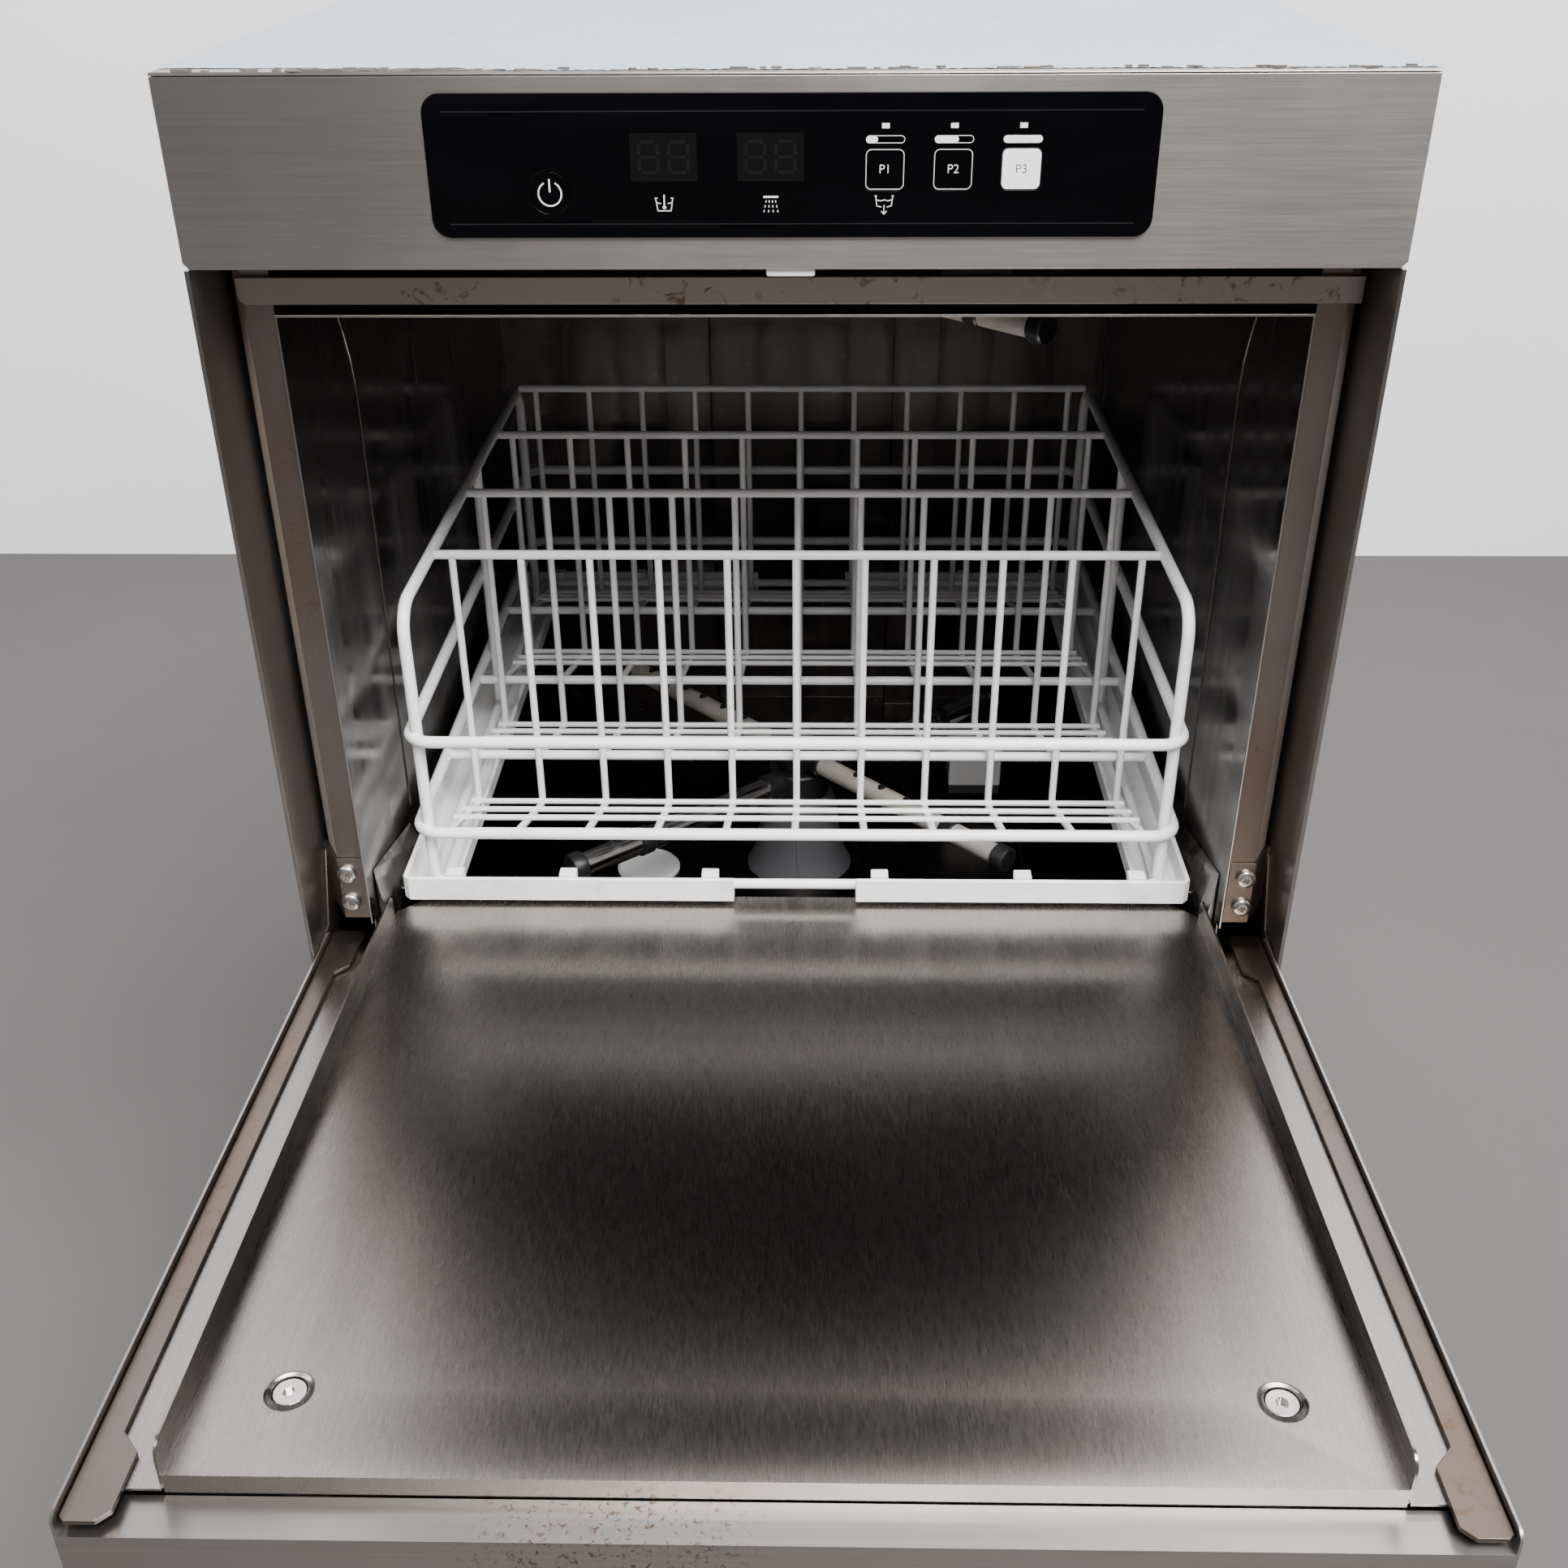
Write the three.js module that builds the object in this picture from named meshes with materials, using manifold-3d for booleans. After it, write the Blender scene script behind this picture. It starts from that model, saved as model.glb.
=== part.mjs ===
// Under-counter glass washer with a drop-down door, a 400 mm square glass rack and rotating arms.
// Millimetres, +Z up, +Y into the machine. Inside this file Y = 0 is the front face of the fascia
// and Z = 0 is the floor; the whole group is moved at the end so that its origin is the middle of
// its footprint. The door stands open and slopes a little towards the tank, so that it drains.

import * as THREE from 'three';
import { ConvexGeometry } from 'three/addons/geometries/ConvexGeometry.js';
import { mergeVertices } from 'three/addons/utils/BufferGeometryUtils.js';
import Module from 'manifold-3d';

const wasm = await Module();
wasm.setup();

// ---------------------------------------------------------------- driving dimensions

const GAP = 0.3;
const CABINET = { halfWidth: 235, depth: 535, height: 700, sheet: 0.8 };
const FASCIA = { bottom: 629.4, top: 698.5, sheet: 1, returnDepth: 12 };
const OVERLAY = { halfWidth: 136, bottom: 641.5, top: 692.8, corner: 7, front: -1.3, back: -GAP };
const KEY = { half: 7.1, corner: 2, z: 666, xs: [35, 60.3, 85.6], stem: 6 };
const POWER_KEY = { x: -90.5, z: 658, radius: 7.5 };
const DISPLAY = { xs: [-47.3, -7.5], halfWidth: 12.6, bottom: 662, top: 679 };

const RAIL = { left: -224.5, right: 228, bottom: 610, top: 621, front: 24.2 };

const TANK = {
  half: 210, wall: 1.2, front: 8, back: 496, floor: 190,
  apron: 271, sillFront: 27, sill: 306.5, lipFront: 22, top: 606.7,
};
const SUMP = { half: 75, front: 175, back: 345, floor: 158 };
const CENTRE_Y = 262;
const GUIDE = { inner: 190, wall: TANK.half - TANK.wall - GAP, top: 301.4, front: 62, back: 456 };

const HINGE = { y: 14.8, z: 289.8, pinRadius: 2.1, holeRadius: 2.5 };
const DOOR_TILT = 2.14;
const DOOR = {
  half: 232.7, sheet: 1, foot: -9, tip: 331, wall: 26.7, tipWall: 17.5,
  panel: 26.3, channel: 21, flange: 39.2, flangeX: 203.5, panelFoot: -22.7, panelEnd: 314.3, lipEnd: -42.7,
};
const HANDLE = { x: 170, h: 279.3, reach: -34, radius: 11, half: 190 };

const RACK = { half: 200, front: 50, bottom: 302, height: 13 };
const RACK_TOP = RACK.bottom + 157.5;
const WIRE = { post: 3, divider: 2.4, upright: 1.9, thin: 1.6 };
const POST_X = 185;
const UPRIGHT_PITCH = 34.8;
const DIVIDERS = [128, 217, 317, 412];
const ROW_STARTS = [54, 135, 226, 326];
const FLOOR_HIGH = 340;
const FLOOR_LOW = 313.5;
const FRAME_SIDES = 6;
const UPRIGHT_SIDES = 4;

const ARM = { washZ: 254, rinseZ: 270.6, washRadius: 7.5, rinseRadius: 6, washReach: 163, rinseReach: 172 };
const LOWER_WASH_ANGLE = 40;
const LOWER_RINSE_ANGLE = -46;
const UPPER_ARM = { washZ: 586.4, rinseZ: 569.8 };
const SPINDLE_RADIUS = 5;

// ---------------------------------------------------------------- solids

// A three.js geometry as a solid that can be joined and cut.
function solid(geometry) {
  const bare = geometry.index ? geometry.toNonIndexed() : geometry.clone();
  bare.deleteAttribute('normal');
  bare.deleteAttribute('uv');
  const merged = mergeVertices(bare, 1e-4);
  return new wasm.Manifold(new wasm.Mesh({
    numProp: 3,
    vertProperties: new Float32Array(merged.attributes.position.array),
    triVerts: new Uint32Array(merged.index.array),
  }));
}

function join(...parts) {
  return parts.flat().reduce((whole, part) => whole.add(part));
}

function cut(body, ...tools) {
  return tools.flat().reduce((whole, tool) => whole.subtract(tool), body);
}

function block(x0, x1, y0, y1, z0, z1) {
  const geometry = new THREE.BoxGeometry(x1 - x0, y1 - y0, z1 - z0);
  geometry.translate((x0 + x1) / 2, (y0 + y1) / 2, (z0 + z1) / 2);
  return solid(geometry);
}

function outline(points) {
  return new THREE.Shape(points.map(([x, y]) => new THREE.Vector2(x, y)));
}

function roundedRect(x0, y0, x1, y1, r) {
  const shape = new THREE.Shape();
  shape.absarc(x1 - r, y0 + r, r, -Math.PI / 2, 0);
  shape.absarc(x1 - r, y1 - r, r, 0, Math.PI / 2);
  shape.absarc(x0 + r, y1 - r, r, Math.PI / 2, Math.PI);
  shape.absarc(x0 + r, y0 + r, r, Math.PI, 1.5 * Math.PI);
  return shape;
}

function extrude(shape, depth, segments) {
  return new THREE.ExtrudeGeometry(shape, { depth, bevelEnabled: false, curveSegments: segments });
}

// A shape drawn in (x, y), drawn out from z0 to z1.
function prismZ(shape, z0, z1, segments = 3) {
  const geometry = extrude(shape, z1 - z0, segments);
  geometry.translate(0, 0, z0);
  return solid(geometry);
}

// A shape drawn in (x, z), drawn out from y0 to y1.
function prismY(shape, y0, y1, segments = 3) {
  const geometry = extrude(shape, y1 - y0, segments);
  geometry.rotateX(Math.PI / 2);
  geometry.translate(0, y1, 0);
  return solid(geometry);
}

// A shape drawn in (y, z), drawn out from x0 to x1.
function prismX(shape, x0, x1, segments = 3) {
  const geometry = extrude(shape, x1 - x0, segments);
  geometry.applyMatrix4(new THREE.Matrix4().makeBasis(
    new THREE.Vector3(0, 1, 0),
    new THREE.Vector3(0, 0, 1),
    new THREE.Vector3(1, 0, 0),
  ));
  geometry.translate(x0, 0, 0);
  return solid(geometry);
}

// A round bar between two points.
function rod(from, to, radius, sides = 16) {
  const a = new THREE.Vector3(...from);
  const b = new THREE.Vector3(...to);
  const along = b.clone().sub(a);
  const geometry = new THREE.CylinderGeometry(radius, radius, along.length(), sides);
  const turn = new THREE.Quaternion().setFromUnitVectors(
    new THREE.Vector3(0, 1, 0), along.clone().normalize());
  geometry.applyQuaternion(turn);
  geometry.translate((a.x + b.x) / 2, (a.y + b.y) / 2, (a.z + b.z) / 2);
  return solid(geometry);
}

// A turned piece about the vertical line through (x, y); profile is [radius, z] from axis to axis.
function turned(profile, x, y, sides = 20) {
  const points = profile.map(([r, z]) => new THREE.Vector2(r, z));
  const geometry = new THREE.LatheGeometry(points, sides);
  geometry.rotateX(Math.PI / 2);
  geometry.translate(x, y, 0);
  return solid(geometry);
}

// A ring of round wire in a level plane, with rounded corners.
function hoop(halfX, y0, y1, z, radius, corner) {
  const path = new THREE.CurvePath();
  const corners = [
    [halfX, y1, 0], [-halfX, y1, 90], [-halfX, y0, 180], [halfX, y0, 270],
  ];
  const arcs = corners.map(([x, y, start]) => {
    const cx = x - Math.sign(x) * corner;
    const cy = y === y1 ? y1 - corner : y0 + corner;
    const points = [0, 45, 90].map((step) => {
      const angle = THREE.MathUtils.degToRad(start + step);
      return new THREE.Vector3(cx + corner * Math.cos(angle), cy + corner * Math.sin(angle), z);
    });
    return points;
  });
  const ring = arcs.flat();
  for (let i = 0; i < ring.length; i += 1) {
    path.add(new THREE.LineCurve3(ring[i], ring[(i + 1) % ring.length]));
  }
  const sides = ring.map((from, i) => {
    const to = ring[(i + 1) % ring.length];
    const ahead = to.clone().sub(from).normalize().multiplyScalar(radius * 0.2);
    const start = from.clone().sub(ahead);
    const end = to.clone().add(ahead);
    return rod(start.toArray(), end.toArray(), radius, FRAME_SIDES);
  });
  return join(sides);
}

const materials = {
  brushed: [0x8f8a84, 0.38, 0.9],
  sheet: [0x9a9691, 0.34, 0.9],
  film: [0xc9d3da, 0.3, 0.1],
  tankSteel: [0x4a4744, 0.25, 0.95],
  tinted: [0x6b5646, 0.35, 0.85],
  blackGloss: [0x08080a, 0.12, 0.0],
  blackPlastic: [0x16161a, 0.45, 0.0],
  whitePlastic: [0xe8e6e4, 0.5, 0.0],
  coatedWire: [0xeceaea, 0.4, 0.0],
  beigePlastic: [0xb9b0a4, 0.5, 0.0],
  greyPlastic: [0x77777b, 0.5, 0.0],
  chrome: [0xc8c8c8, 0.12, 1.0],
  galvanised: [0x8b8e90, 0.45, 0.8],
  circuit: [0x1d5136, 0.6, 0.0],
  lit: [0xe9eef6, 0.35, 0.0],
};

const machine = new THREE.Group();
const door = new THREE.Group();
const rack = new THREE.Group();
const lowerWash = new THREE.Group();
const lowerRinse = new THREE.Group();
const upperWash = new THREE.Group();
const upperRinse = new THREE.Group();
machine.add(door, rack, lowerWash, lowerRinse, upperWash, upperRinse);

// Turns a solid into a named mesh in its group.
function part(name, body, finish, group = machine) {
  const made = body.getMesh();
  const geometry = new THREE.BufferGeometry();
  geometry.setAttribute('position', new THREE.BufferAttribute(made.vertProperties, 3));
  geometry.setIndex(new THREE.BufferAttribute(made.triVerts, 1));
  geometry.computeVertexNormals();
  const [color, roughness, metalness] = materials[finish];
  const mesh = new THREE.Mesh(geometry, new THREE.MeshStandardMaterial({ color, roughness, metalness }));
  mesh.name = name;
  group.add(mesh);
  return mesh;
}

// The left and right of a pair: side is -1 or 1.
const SIDES = [['left', -1], ['right', 1]];

function blockAt(side, x0, x1, y0, y1, z0, z1) {
  return side > 0 ? block(x0, x1, y0, y1, z0, z1) : block(-x1, -x0, y0, y1, z0, z1);
}

function mirrorPoints(side, points) {
  const placed = points.map(([x, y]) => [side * x, y]);
  return outline(side > 0 ? placed : placed.reverse());
}

// ---------------------------------------------------------------- cabinet

const SIDE_OUT = CABINET.halfWidth;
const SIDE_IN = SIDE_OUT - CABINET.sheet;
const TOP_UNDER = 696.2;
const TOP_SHEET = 698.8;
const BASE_TOP = 27;

function topPanel() {
  const lip = new THREE.Shape();
  lip.moveTo(0, TOP_SHEET);
  lip.lineTo(CABINET.depth - 1.2, TOP_SHEET);
  lip.lineTo(CABINET.depth - 1.2, TOP_UNDER);
  lip.lineTo(CABINET.depth, TOP_UNDER);
  lip.lineTo(CABINET.depth, CABINET.height);
  lip.lineTo(0.9, CABINET.height);
  lip.lineTo(0, CABINET.height - 0.7);
  return join(
    prismX(lip, -CABINET.halfWidth, CABINET.halfWidth),
    block(-CABINET.halfWidth, -CABINET.halfWidth + 1.2, 13, CABINET.depth - 1, TOP_UNDER, 699),
    block(CABINET.halfWidth - 1.2, CABINET.halfWidth, 13, CABINET.depth - 1, TOP_UNDER, 699),
  );
}
part('top_panel', topPanel(), 'film');

function sidePanel(side) {
  const hemX = DOOR.half + 0.5;
  const plan = mirrorPoints(side, [
    [SIDE_OUT, 0], [SIDE_OUT, 533.6], [218, 533.6], [218, 532.4], [SIDE_IN, 532.4],
    [SIDE_IN, 8], [hemX, 8], [hemX, 0],
  ]);
  const behindFascia = blockAt(side, 228, SIDE_OUT + 1, -1, FASCIA.returnDepth + GAP, FASCIA.bottom - GAP, 710);
  return cut(prismZ(plan, BASE_TOP, TOP_UNDER - GAP), behindFascia);
}
for (const [name, side] of SIDES) {
  part(`side_panel_${name}`, sidePanel(side), 'sheet');
}

function backPanel() {
  const plate = block(-233, 233, 533.9, CABINET.depth, BASE_TOP, TOP_UNDER - GAP);
  const inlet = rod([-150, 530, 90], [-150, 540, 90], 11.3);
  const drain = rod([-90, 530, 70], [-90, 540, 70], 14.3);
  const cable = rod([150, 530, 90], [150, 540, 90], 9.3);
  const louvres = [0, 1, 2, 3, 4].map((i) => block(-80, 80, 530, 540, 140 + 14 * i, 145 + 14 * i));
  return cut(plate, inlet, drain, cable, louvres);
}
part('back_panel', backPanel(), 'galvanised');

function baseTray() {
  const floor = block(-233.4, 233.4, 1.6, 532, 25, 26.4);
  const rim = cut(
    block(-233.4, 233.4, 1.6, 532, 25, 40),
    block(-232.2, 232.2, 2.8, 530.8, 24, 41),
  );
  const holes = footPlaces().map(([x, y]) => rod([x, y, 20], [x, y, 45], 5.5));
  return cut(join(floor, rim), holes, rimRelief());
}

// The tray's rim stops short of the side panels.
function rimRelief() {
  return SIDES.map(([, side]) => blockAt(side, SIDE_IN - 2.4, 240, 0, 540, 26.4, 50));
}

function footPlaces() {
  return [[-200, 45], [200, 45], [-200, 495], [200, 495]];
}
part('base_tray', baseTray(), 'galvanised');

const FOOT_NAMES = ['front_left', 'front_right', 'rear_left', 'rear_right'];
footPlaces().forEach(([x, y], i) => {
  const profile = [[0, 0], [19, 0], [19, 6], [14, 12], [14, 24.6], [5, 24.6], [5, 44], [0, 44]];
  part(`foot_${FOOT_NAMES[i]}`, turned(profile, x, y, 12), 'blackPlastic');
});

function lowerFrontPanel() {
  const half = DOOR.half;
  return join(
    block(-half, half, 0, 1, BASE_TOP + 0.4, TANK.apron),
    block(-half, half, 0, 6, TANK.apron - 1, TANK.apron),
    block(-half, half, 0, 1.3, BASE_TOP + 0.4, BASE_TOP + 14),
  );
}
part('lower_front_panel', lowerFrontPanel(), 'brushed');

// ---------------------------------------------------------------- fascia and controls

function fascia() {
  const half = CABINET.halfWidth;
  const face = new THREE.Shape();
  face.moveTo(-half + 2.5, FASCIA.bottom);
  face.lineTo(half - 2.5, FASCIA.bottom);
  face.lineTo(half, FASCIA.bottom + 2.5);
  face.lineTo(half, FASCIA.top);
  face.lineTo(-half, FASCIA.top);
  face.lineTo(-half, FASCIA.bottom + 2.5);
  const plate = prismY(face, 0, FASCIA.sheet);
  const returns = SIDES.map(([, side]) => blockAt(side, half - 1, half, 0.5, FASCIA.returnDepth,
    FASCIA.bottom + 2.5, FASCIA.top));
  const lowerReturn = block(-half + 4, half - 4, 0.5, 14, FASCIA.bottom, FASCIA.bottom + 1);
  const upperReturn = block(-half + 4, half - 4, 0.5, 14, FASCIA.top - 1, FASCIA.top);
  const window = prismY(roundedRect(-129, 645, 129, 689, 4), -1, 3);
  const catchNotch = block(-10.2, 9.8, 1.1, 15, 629, 641);
  return cut(join(plate, returns, lowerReturn, upperReturn), window, catchNotch);
}
part('front_fascia', fascia(), 'brushed');

function keyShape(x, grow) {
  const reach = KEY.half + grow;
  return roundedRect(x - reach, KEY.z - reach, x + reach, KEY.z + reach, KEY.corner);
}

function controlOverlay() {
  const { halfWidth, bottom, top, corner, front, back } = OVERLAY;
  const film = prismY(roundedRect(-halfWidth, bottom, halfWidth, top, corner), front, back, 4);
  const keyHoles = KEY.xs.map((x) => prismY(keyShape(x, GAP), -3, 2, 2));
  const powerHole = rod([POWER_KEY.x, -3, POWER_KEY.z], [POWER_KEY.x, 2, POWER_KEY.z],
    POWER_KEY.radius + GAP, 20);
  return cut(film, keyHoles, powerHole);
}
part('control_overlay', controlOverlay(), 'blackGloss');

KEY.xs.forEach((x, i) => {
  const finish = i === 2 ? 'lit' : 'blackGloss';
  part(`key_program_${i + 1}`, prismY(keyShape(x, 0), OVERLAY.front, KEY.stem, 2), finish);
});
part('key_power', rod([POWER_KEY.x, OVERLAY.front, POWER_KEY.z], [POWER_KEY.x, KEY.stem, POWER_KEY.z],
  POWER_KEY.radius, 20), 'blackGloss');

DISPLAY.xs.forEach((x, i) => {
  const { halfWidth, bottom, top } = DISPLAY;
  part(`display_${i ? 'rinse' : 'wash'}`, block(x - halfWidth, x + halfWidth, 0.2, 8.2, bottom, top),
    'blackPlastic');
});
part('control_board', block(-126, 126, 9, 10.6, 646, 688), 'circuit');

// A recessed rail under the fascia; its lower left corner is rounded.
function headerRail() {
  const { left, right, bottom, top, front } = RAIL;
  const face = new THREE.Shape();
  face.moveTo(right, bottom);
  face.lineTo(right, top);
  face.lineTo(left, top);
  face.lineTo(left, bottom + 4);
  face.absarc(left + 4, bottom + 4, 4, Math.PI, 1.5 * Math.PI);
  return join(
    prismY(face, front, front + 1.2),
    block(left, right, front, 27, top - 1, top),
  );
}
part('header_rail', headerRail(), 'tinted');

// The tab that the door's top edge snaps against.
function doorCatch() {
  return join(
    prismY(roundedRect(-9.6, 626.4, 9.2, 640, 1), 1.4, 4.4),
    block(-7, 7, 3, 13, 632, 640),
  );
}
part('door_catch', doorCatch(), 'whitePlastic');
part('door_switch', join(
  block(60, 88, 28, 38, 613, 630),
  rod([74, 26, 616], [74, 29, 616], 2.4, 8),
), 'blackPlastic');

// ---------------------------------------------------------------- tank

// Feed channels that run up the back wall to the upper arms.
const RISERS = [-79.5, 79];

function tank() {
  const { half, wall, front, back, floor, apron, sillFront, sill, lipFront, top } = TANK;
  const outer = prismX(outline([
    [front, floor], [back, floor], [back, top], [lipFront, top],
    [lipFront, sill], [sillFront, sill], [sillFront, apron], [front, apron],
  ]), -half, half);
  const inner = prismX(outline([
    [front + wall, floor + wall], [back - wall, floor + wall], [back - wall, top - wall],
    [0, top - wall], [0, apron], [front + wall, apron],
  ]), -half + wall, half - wall);
  const well = block(-SUMP.half, SUMP.half, SUMP.front, SUMP.back, SUMP.floor, floor + 0.5);
  const wellHollow = block(-SUMP.half + wall, SUMP.half - wall, SUMP.front + wall, SUMP.back - wall,
    SUMP.floor + wall, floor + 5);
  const drain = rod([-45, 210, SUMP.floor - 2], [-45, 210, SUMP.floor + 4], 12);
  const feed = rod([0, CENTRE_Y, SUMP.floor - 2], [0, CENTRE_Y, SUMP.floor + 4], 16);
  const risers = RISERS.map((x) => block(x - 15.5, x + 15.5, 484, back - 0.5, floor + 0.5, top - 0.5));
  return join(cut(join(outer, well), inner, wellHollow, drain, feed), risers);
}
part('wash_tank', tank(), 'tankSteel');

// Flange beside the opening, folded back towards the side panel.
function column(side) {
  const plan = mirrorPoints(side, [
    [211.3, 28], [223.4, 28], [231.4, 43], [231.4, 60], [230.2, 60], [230.2, 43.4],
    [222.7, 29.2], [211.3, 29.2],
  ]);
  const behindBracket = mirrorPoints(side, [
    [211.3, 28], [222.4, 28], [231, 44.4], [231, 60], [230.2, 60], [230.2, 45], [221.7, 29.2], [211.3, 29.2],
  ]);
  return join(prismZ(plan, 342.1, 628), prismZ(behindBracket, 307, 342.2));
}
for (const [name, side] of SIDES) {
  part(`front_column_${name}`, column(side), 'tinted');
}

const SCREW_ZS = [333.5, 317];
const SCREW_X = 219;

// Bracket on the column with the riveted hinge pin and the two screw heads.
function hingeBracket(side) {
  const face = mirrorPoints(side, [
    [211.3, 26.4], [223.6, 26.4], [232.9, 42.3], [233.9, 42.3], [233.9, 44.5], [231.9, 44.5],
    [223, 27.7], [211.3, 27.7],
  ]);
  const cheek = outline([
    [10.5, 284], [18, 281], [44.5, 291], [44.5, 337], [41, 337], [27, 302], [10.5, 300],
  ]);
  const cheekPlate = side > 0 ? prismX(cheek, 233, 233.9) : prismX(cheek, -233.9, -233);
  const pin = rod([side * 224, HINGE.y, HINGE.z], [side * 233.4, HINGE.y, HINGE.z], HINGE.pinRadius, 16);
  const screws = SCREW_ZS.map((z) => rod([side * SCREW_X, 24.6, z], [side * SCREW_X, 27, z], 4.6, 16));
  return join(prismZ(face, 307.5, 341.8), cheekPlate, pin, screws);
}

for (const [name, side] of SIDES) {
  part(`hinge_bracket_${name}`, hingeBracket(side), 'brushed');
}

// Ledge that carries the rack's side, with a flared lead-in at the front.
function rackGuide(side) {
  const ledge = blockAt(side, GUIDE.inner, GUIDE.wall, GUIDE.front, GUIDE.back, 299.6, GUIDE.top);
  const leg = blockAt(side, GUIDE.wall - 1.2, GUIDE.wall, 34, GUIDE.back, 288, GUIDE.top);
  const flare = [
    [204.8, 34, 290], [204.8, 34, 300], [GUIDE.wall, 34, 290], [GUIDE.wall, 34, 331],
    [203.2, 108, 299.6], [203.2, 108, GUIDE.top], [GUIDE.wall, 108, 299.6], [GUIDE.wall, 108, 313],
  ].map(([x, y, z]) => new THREE.Vector3(side * x, y, z));
  return join(ledge, leg, solid(new ConvexGeometry(flare)));
}
for (const [name, side] of SIDES) {
  part(`rack_guide_${name}`, rackGuide(side), 'tankSteel');
}

function filterPlate() {
  const plate = prismZ(roundedRect(-160, 110, 160, 415, 24), 191.6, 193.2);
  const rims = [[-148, -40], [40, 148]].map(([x0, x1]) => block(x0, x1, 130, 395, 192, 195.5));
  const trays = [[-145, -43], [43, 145]].map(([x0, x1]) => block(x0, x1, 133, 392, 193.2, 200));
  const hub = rod([0, CENTRE_Y, 180], [0, CENTRE_Y, 205], 35.4, 16);
  return cut(join(plate, rims), trays, hub);
}
part('tank_filter', filterPlate(), 'tankSteel');

function centreColumn() {
  const profile = [
    [0, SUMP.floor + TANK.wall + GAP], [15.5, SUMP.floor + TANK.wall + GAP], [15.5, 190], [34, 190],
    [31, 197], [27, 210], [24.5, 228], [23, 238], [20, 243], [15, 244], [SPINDLE_RADIUS, 244], [SPINDLE_RADIUS, 278.4],
    [9, 278.4], [9, 285], [7, 289], [0, 289],
  ];
  const rib = block(-1.2, 1.2, CENTRE_Y - 31.5, CENTRE_Y - 15, 190, 226);
  return join(turned(profile, 0, CENTRE_Y, 16), rib);
}
part('lower_arm_column', centreColumn(), 'greyPlastic');

part('overflow_disc', turned([[0, 193.6], [20, 193.6], [20, 196.4], [17, 198.4], [0, 198.4]], -97, 246, 16),
  'whitePlastic');

function levelFloat() {
  return prismX(roundedRect(326, 200, 352, 242, 6), 101, 136, 3);
}
part('level_chamber', levelFloat(), 'whitePlastic');

// ---------------------------------------------------------------- spray arms

function armPoint(angle, reach, z) {
  const turn = THREE.MathUtils.degToRad(angle);
  return [reach * Math.cos(turn), CENTRE_Y + reach * Math.sin(turn), z];
}

// A tube pushed through a round hub; both are bored for the spindle.
function sprayArm(prefix, group, angle, z, size) {
  const spindle = rod([0, CENTRE_Y, z - 30], [0, CENTRE_Y, z + 30], SPINDLE_RADIUS + GAP, 12);
  const near = armPoint(angle + 180, size.reach, z);
  const far = armPoint(angle, size.reach, z);
  const socket = rod(near, far, size.radius + GAP, 10);
  const hub = rod([0, CENTRE_Y, z - size.hubHeight / 2], [0, CENTRE_Y, z + size.hubHeight / 2], size.hub, 16);
  part(`${prefix}_hub`, cut(hub, spindle, socket), 'blackPlastic', group);
  part(`${prefix}_tube`, cut(rod(near, far, size.radius, 10), spindle), size.finish, group);
  if (!size.capped) {
    return;
  }
  [['a', 0], ['b', 180]].forEach(([end, turn]) => {
    const from = armPoint(angle + turn, size.reach + GAP, z);
    const to = armPoint(angle + turn, size.reach + 9, z);
    part(`${prefix}_cap_${end}`, rod(from, to, size.radius + 2, 12), 'blackPlastic', group);
  });
}

const WASH_ARM = {
  hub: 19, hubHeight: 17.4, radius: ARM.washRadius, reach: ARM.washReach, finish: 'chrome', capped: true,
};
const RINSE_ARM = {
  hub: 13, hubHeight: 14.8, radius: ARM.rinseRadius, reach: ARM.rinseReach, finish: 'beigePlastic', capped: false,
};
sprayArm('lower_wash_arm', lowerWash, LOWER_WASH_ANGLE, ARM.washZ, WASH_ARM);
sprayArm('lower_rinse_arm', lowerRinse, LOWER_RINSE_ANGLE, ARM.rinseZ, RINSE_ARM);
sprayArm('upper_wash_arm', upperWash, LOWER_WASH_ANGLE, UPPER_ARM.washZ, { ...WASH_ARM, capped: false });
sprayArm('upper_rinse_arm', upperRinse, LOWER_RINSE_ANGLE, UPPER_ARM.rinseZ, RINSE_ARM);

function upperSpindle() {
  const profile = [
    [0, 558], [8, 558], [8, 562], [SPINDLE_RADIUS, 562], [SPINDLE_RADIUS, 596],
    [18, 596], [18, 605.1], [0, 605.1],
  ];
  return turned(profile, 0, CENTRE_Y, 12);
}
part('upper_arm_spindle', upperSpindle(), 'greyPlastic');

// ---------------------------------------------------------------- service space under the tank

function boiler() {
  return join(
    rod([90, 330, 92], [90, 500, 92], 52, 28),
    rod([90, 318, 92], [90, 331, 92], 30, 20),
    rod([90, 400, 140], [90, 400, 152], 9, 12),
  );
}
part('rinse_boiler', boiler(), 'galvanised');

function washPump() {
  return join(
    rod([-120, 120, 82], [-10, 120, 82], 42, 24),
    rod([-10.5, 120, 82], [38, 120, 82], 50, 24),
    rod([20, 120, 120], [20, 120, 148], 14, 16),
    block(-100, -30, 85, 155, 30, 60),
  );
}
part('wash_pump', washPump(), 'blackPlastic');

function drainPump() {
  return join(
    rod([-150, 300, 66], [-80, 300, 66], 30, 20),
    rod([-80.5, 300, 66], [-52, 300, 66], 24, 20),
    block(-140, -95, 280, 320, 28, 50),
    rod([-90, 300, 70], [-90, 552, 70], 14, 18),
  );
}
part('drain_pump', drainPump(), 'blackPlastic');

part('inlet_valve', join(
  rod([-150, 480, 90], [-150, 549, 90], 11, 16),
  block(-166, -134, 440, 482, 72, 112),
), 'whitePlastic');
part('cable_gland', join(
  rod([150, 525, 90], [150, 545, 90], 9, 16),
  rod([150, 536, 90], [150, 543, 90], 12, 6),
), 'blackPlastic');

// ---------------------------------------------------------------- door, drawn shut and then opened

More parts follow.
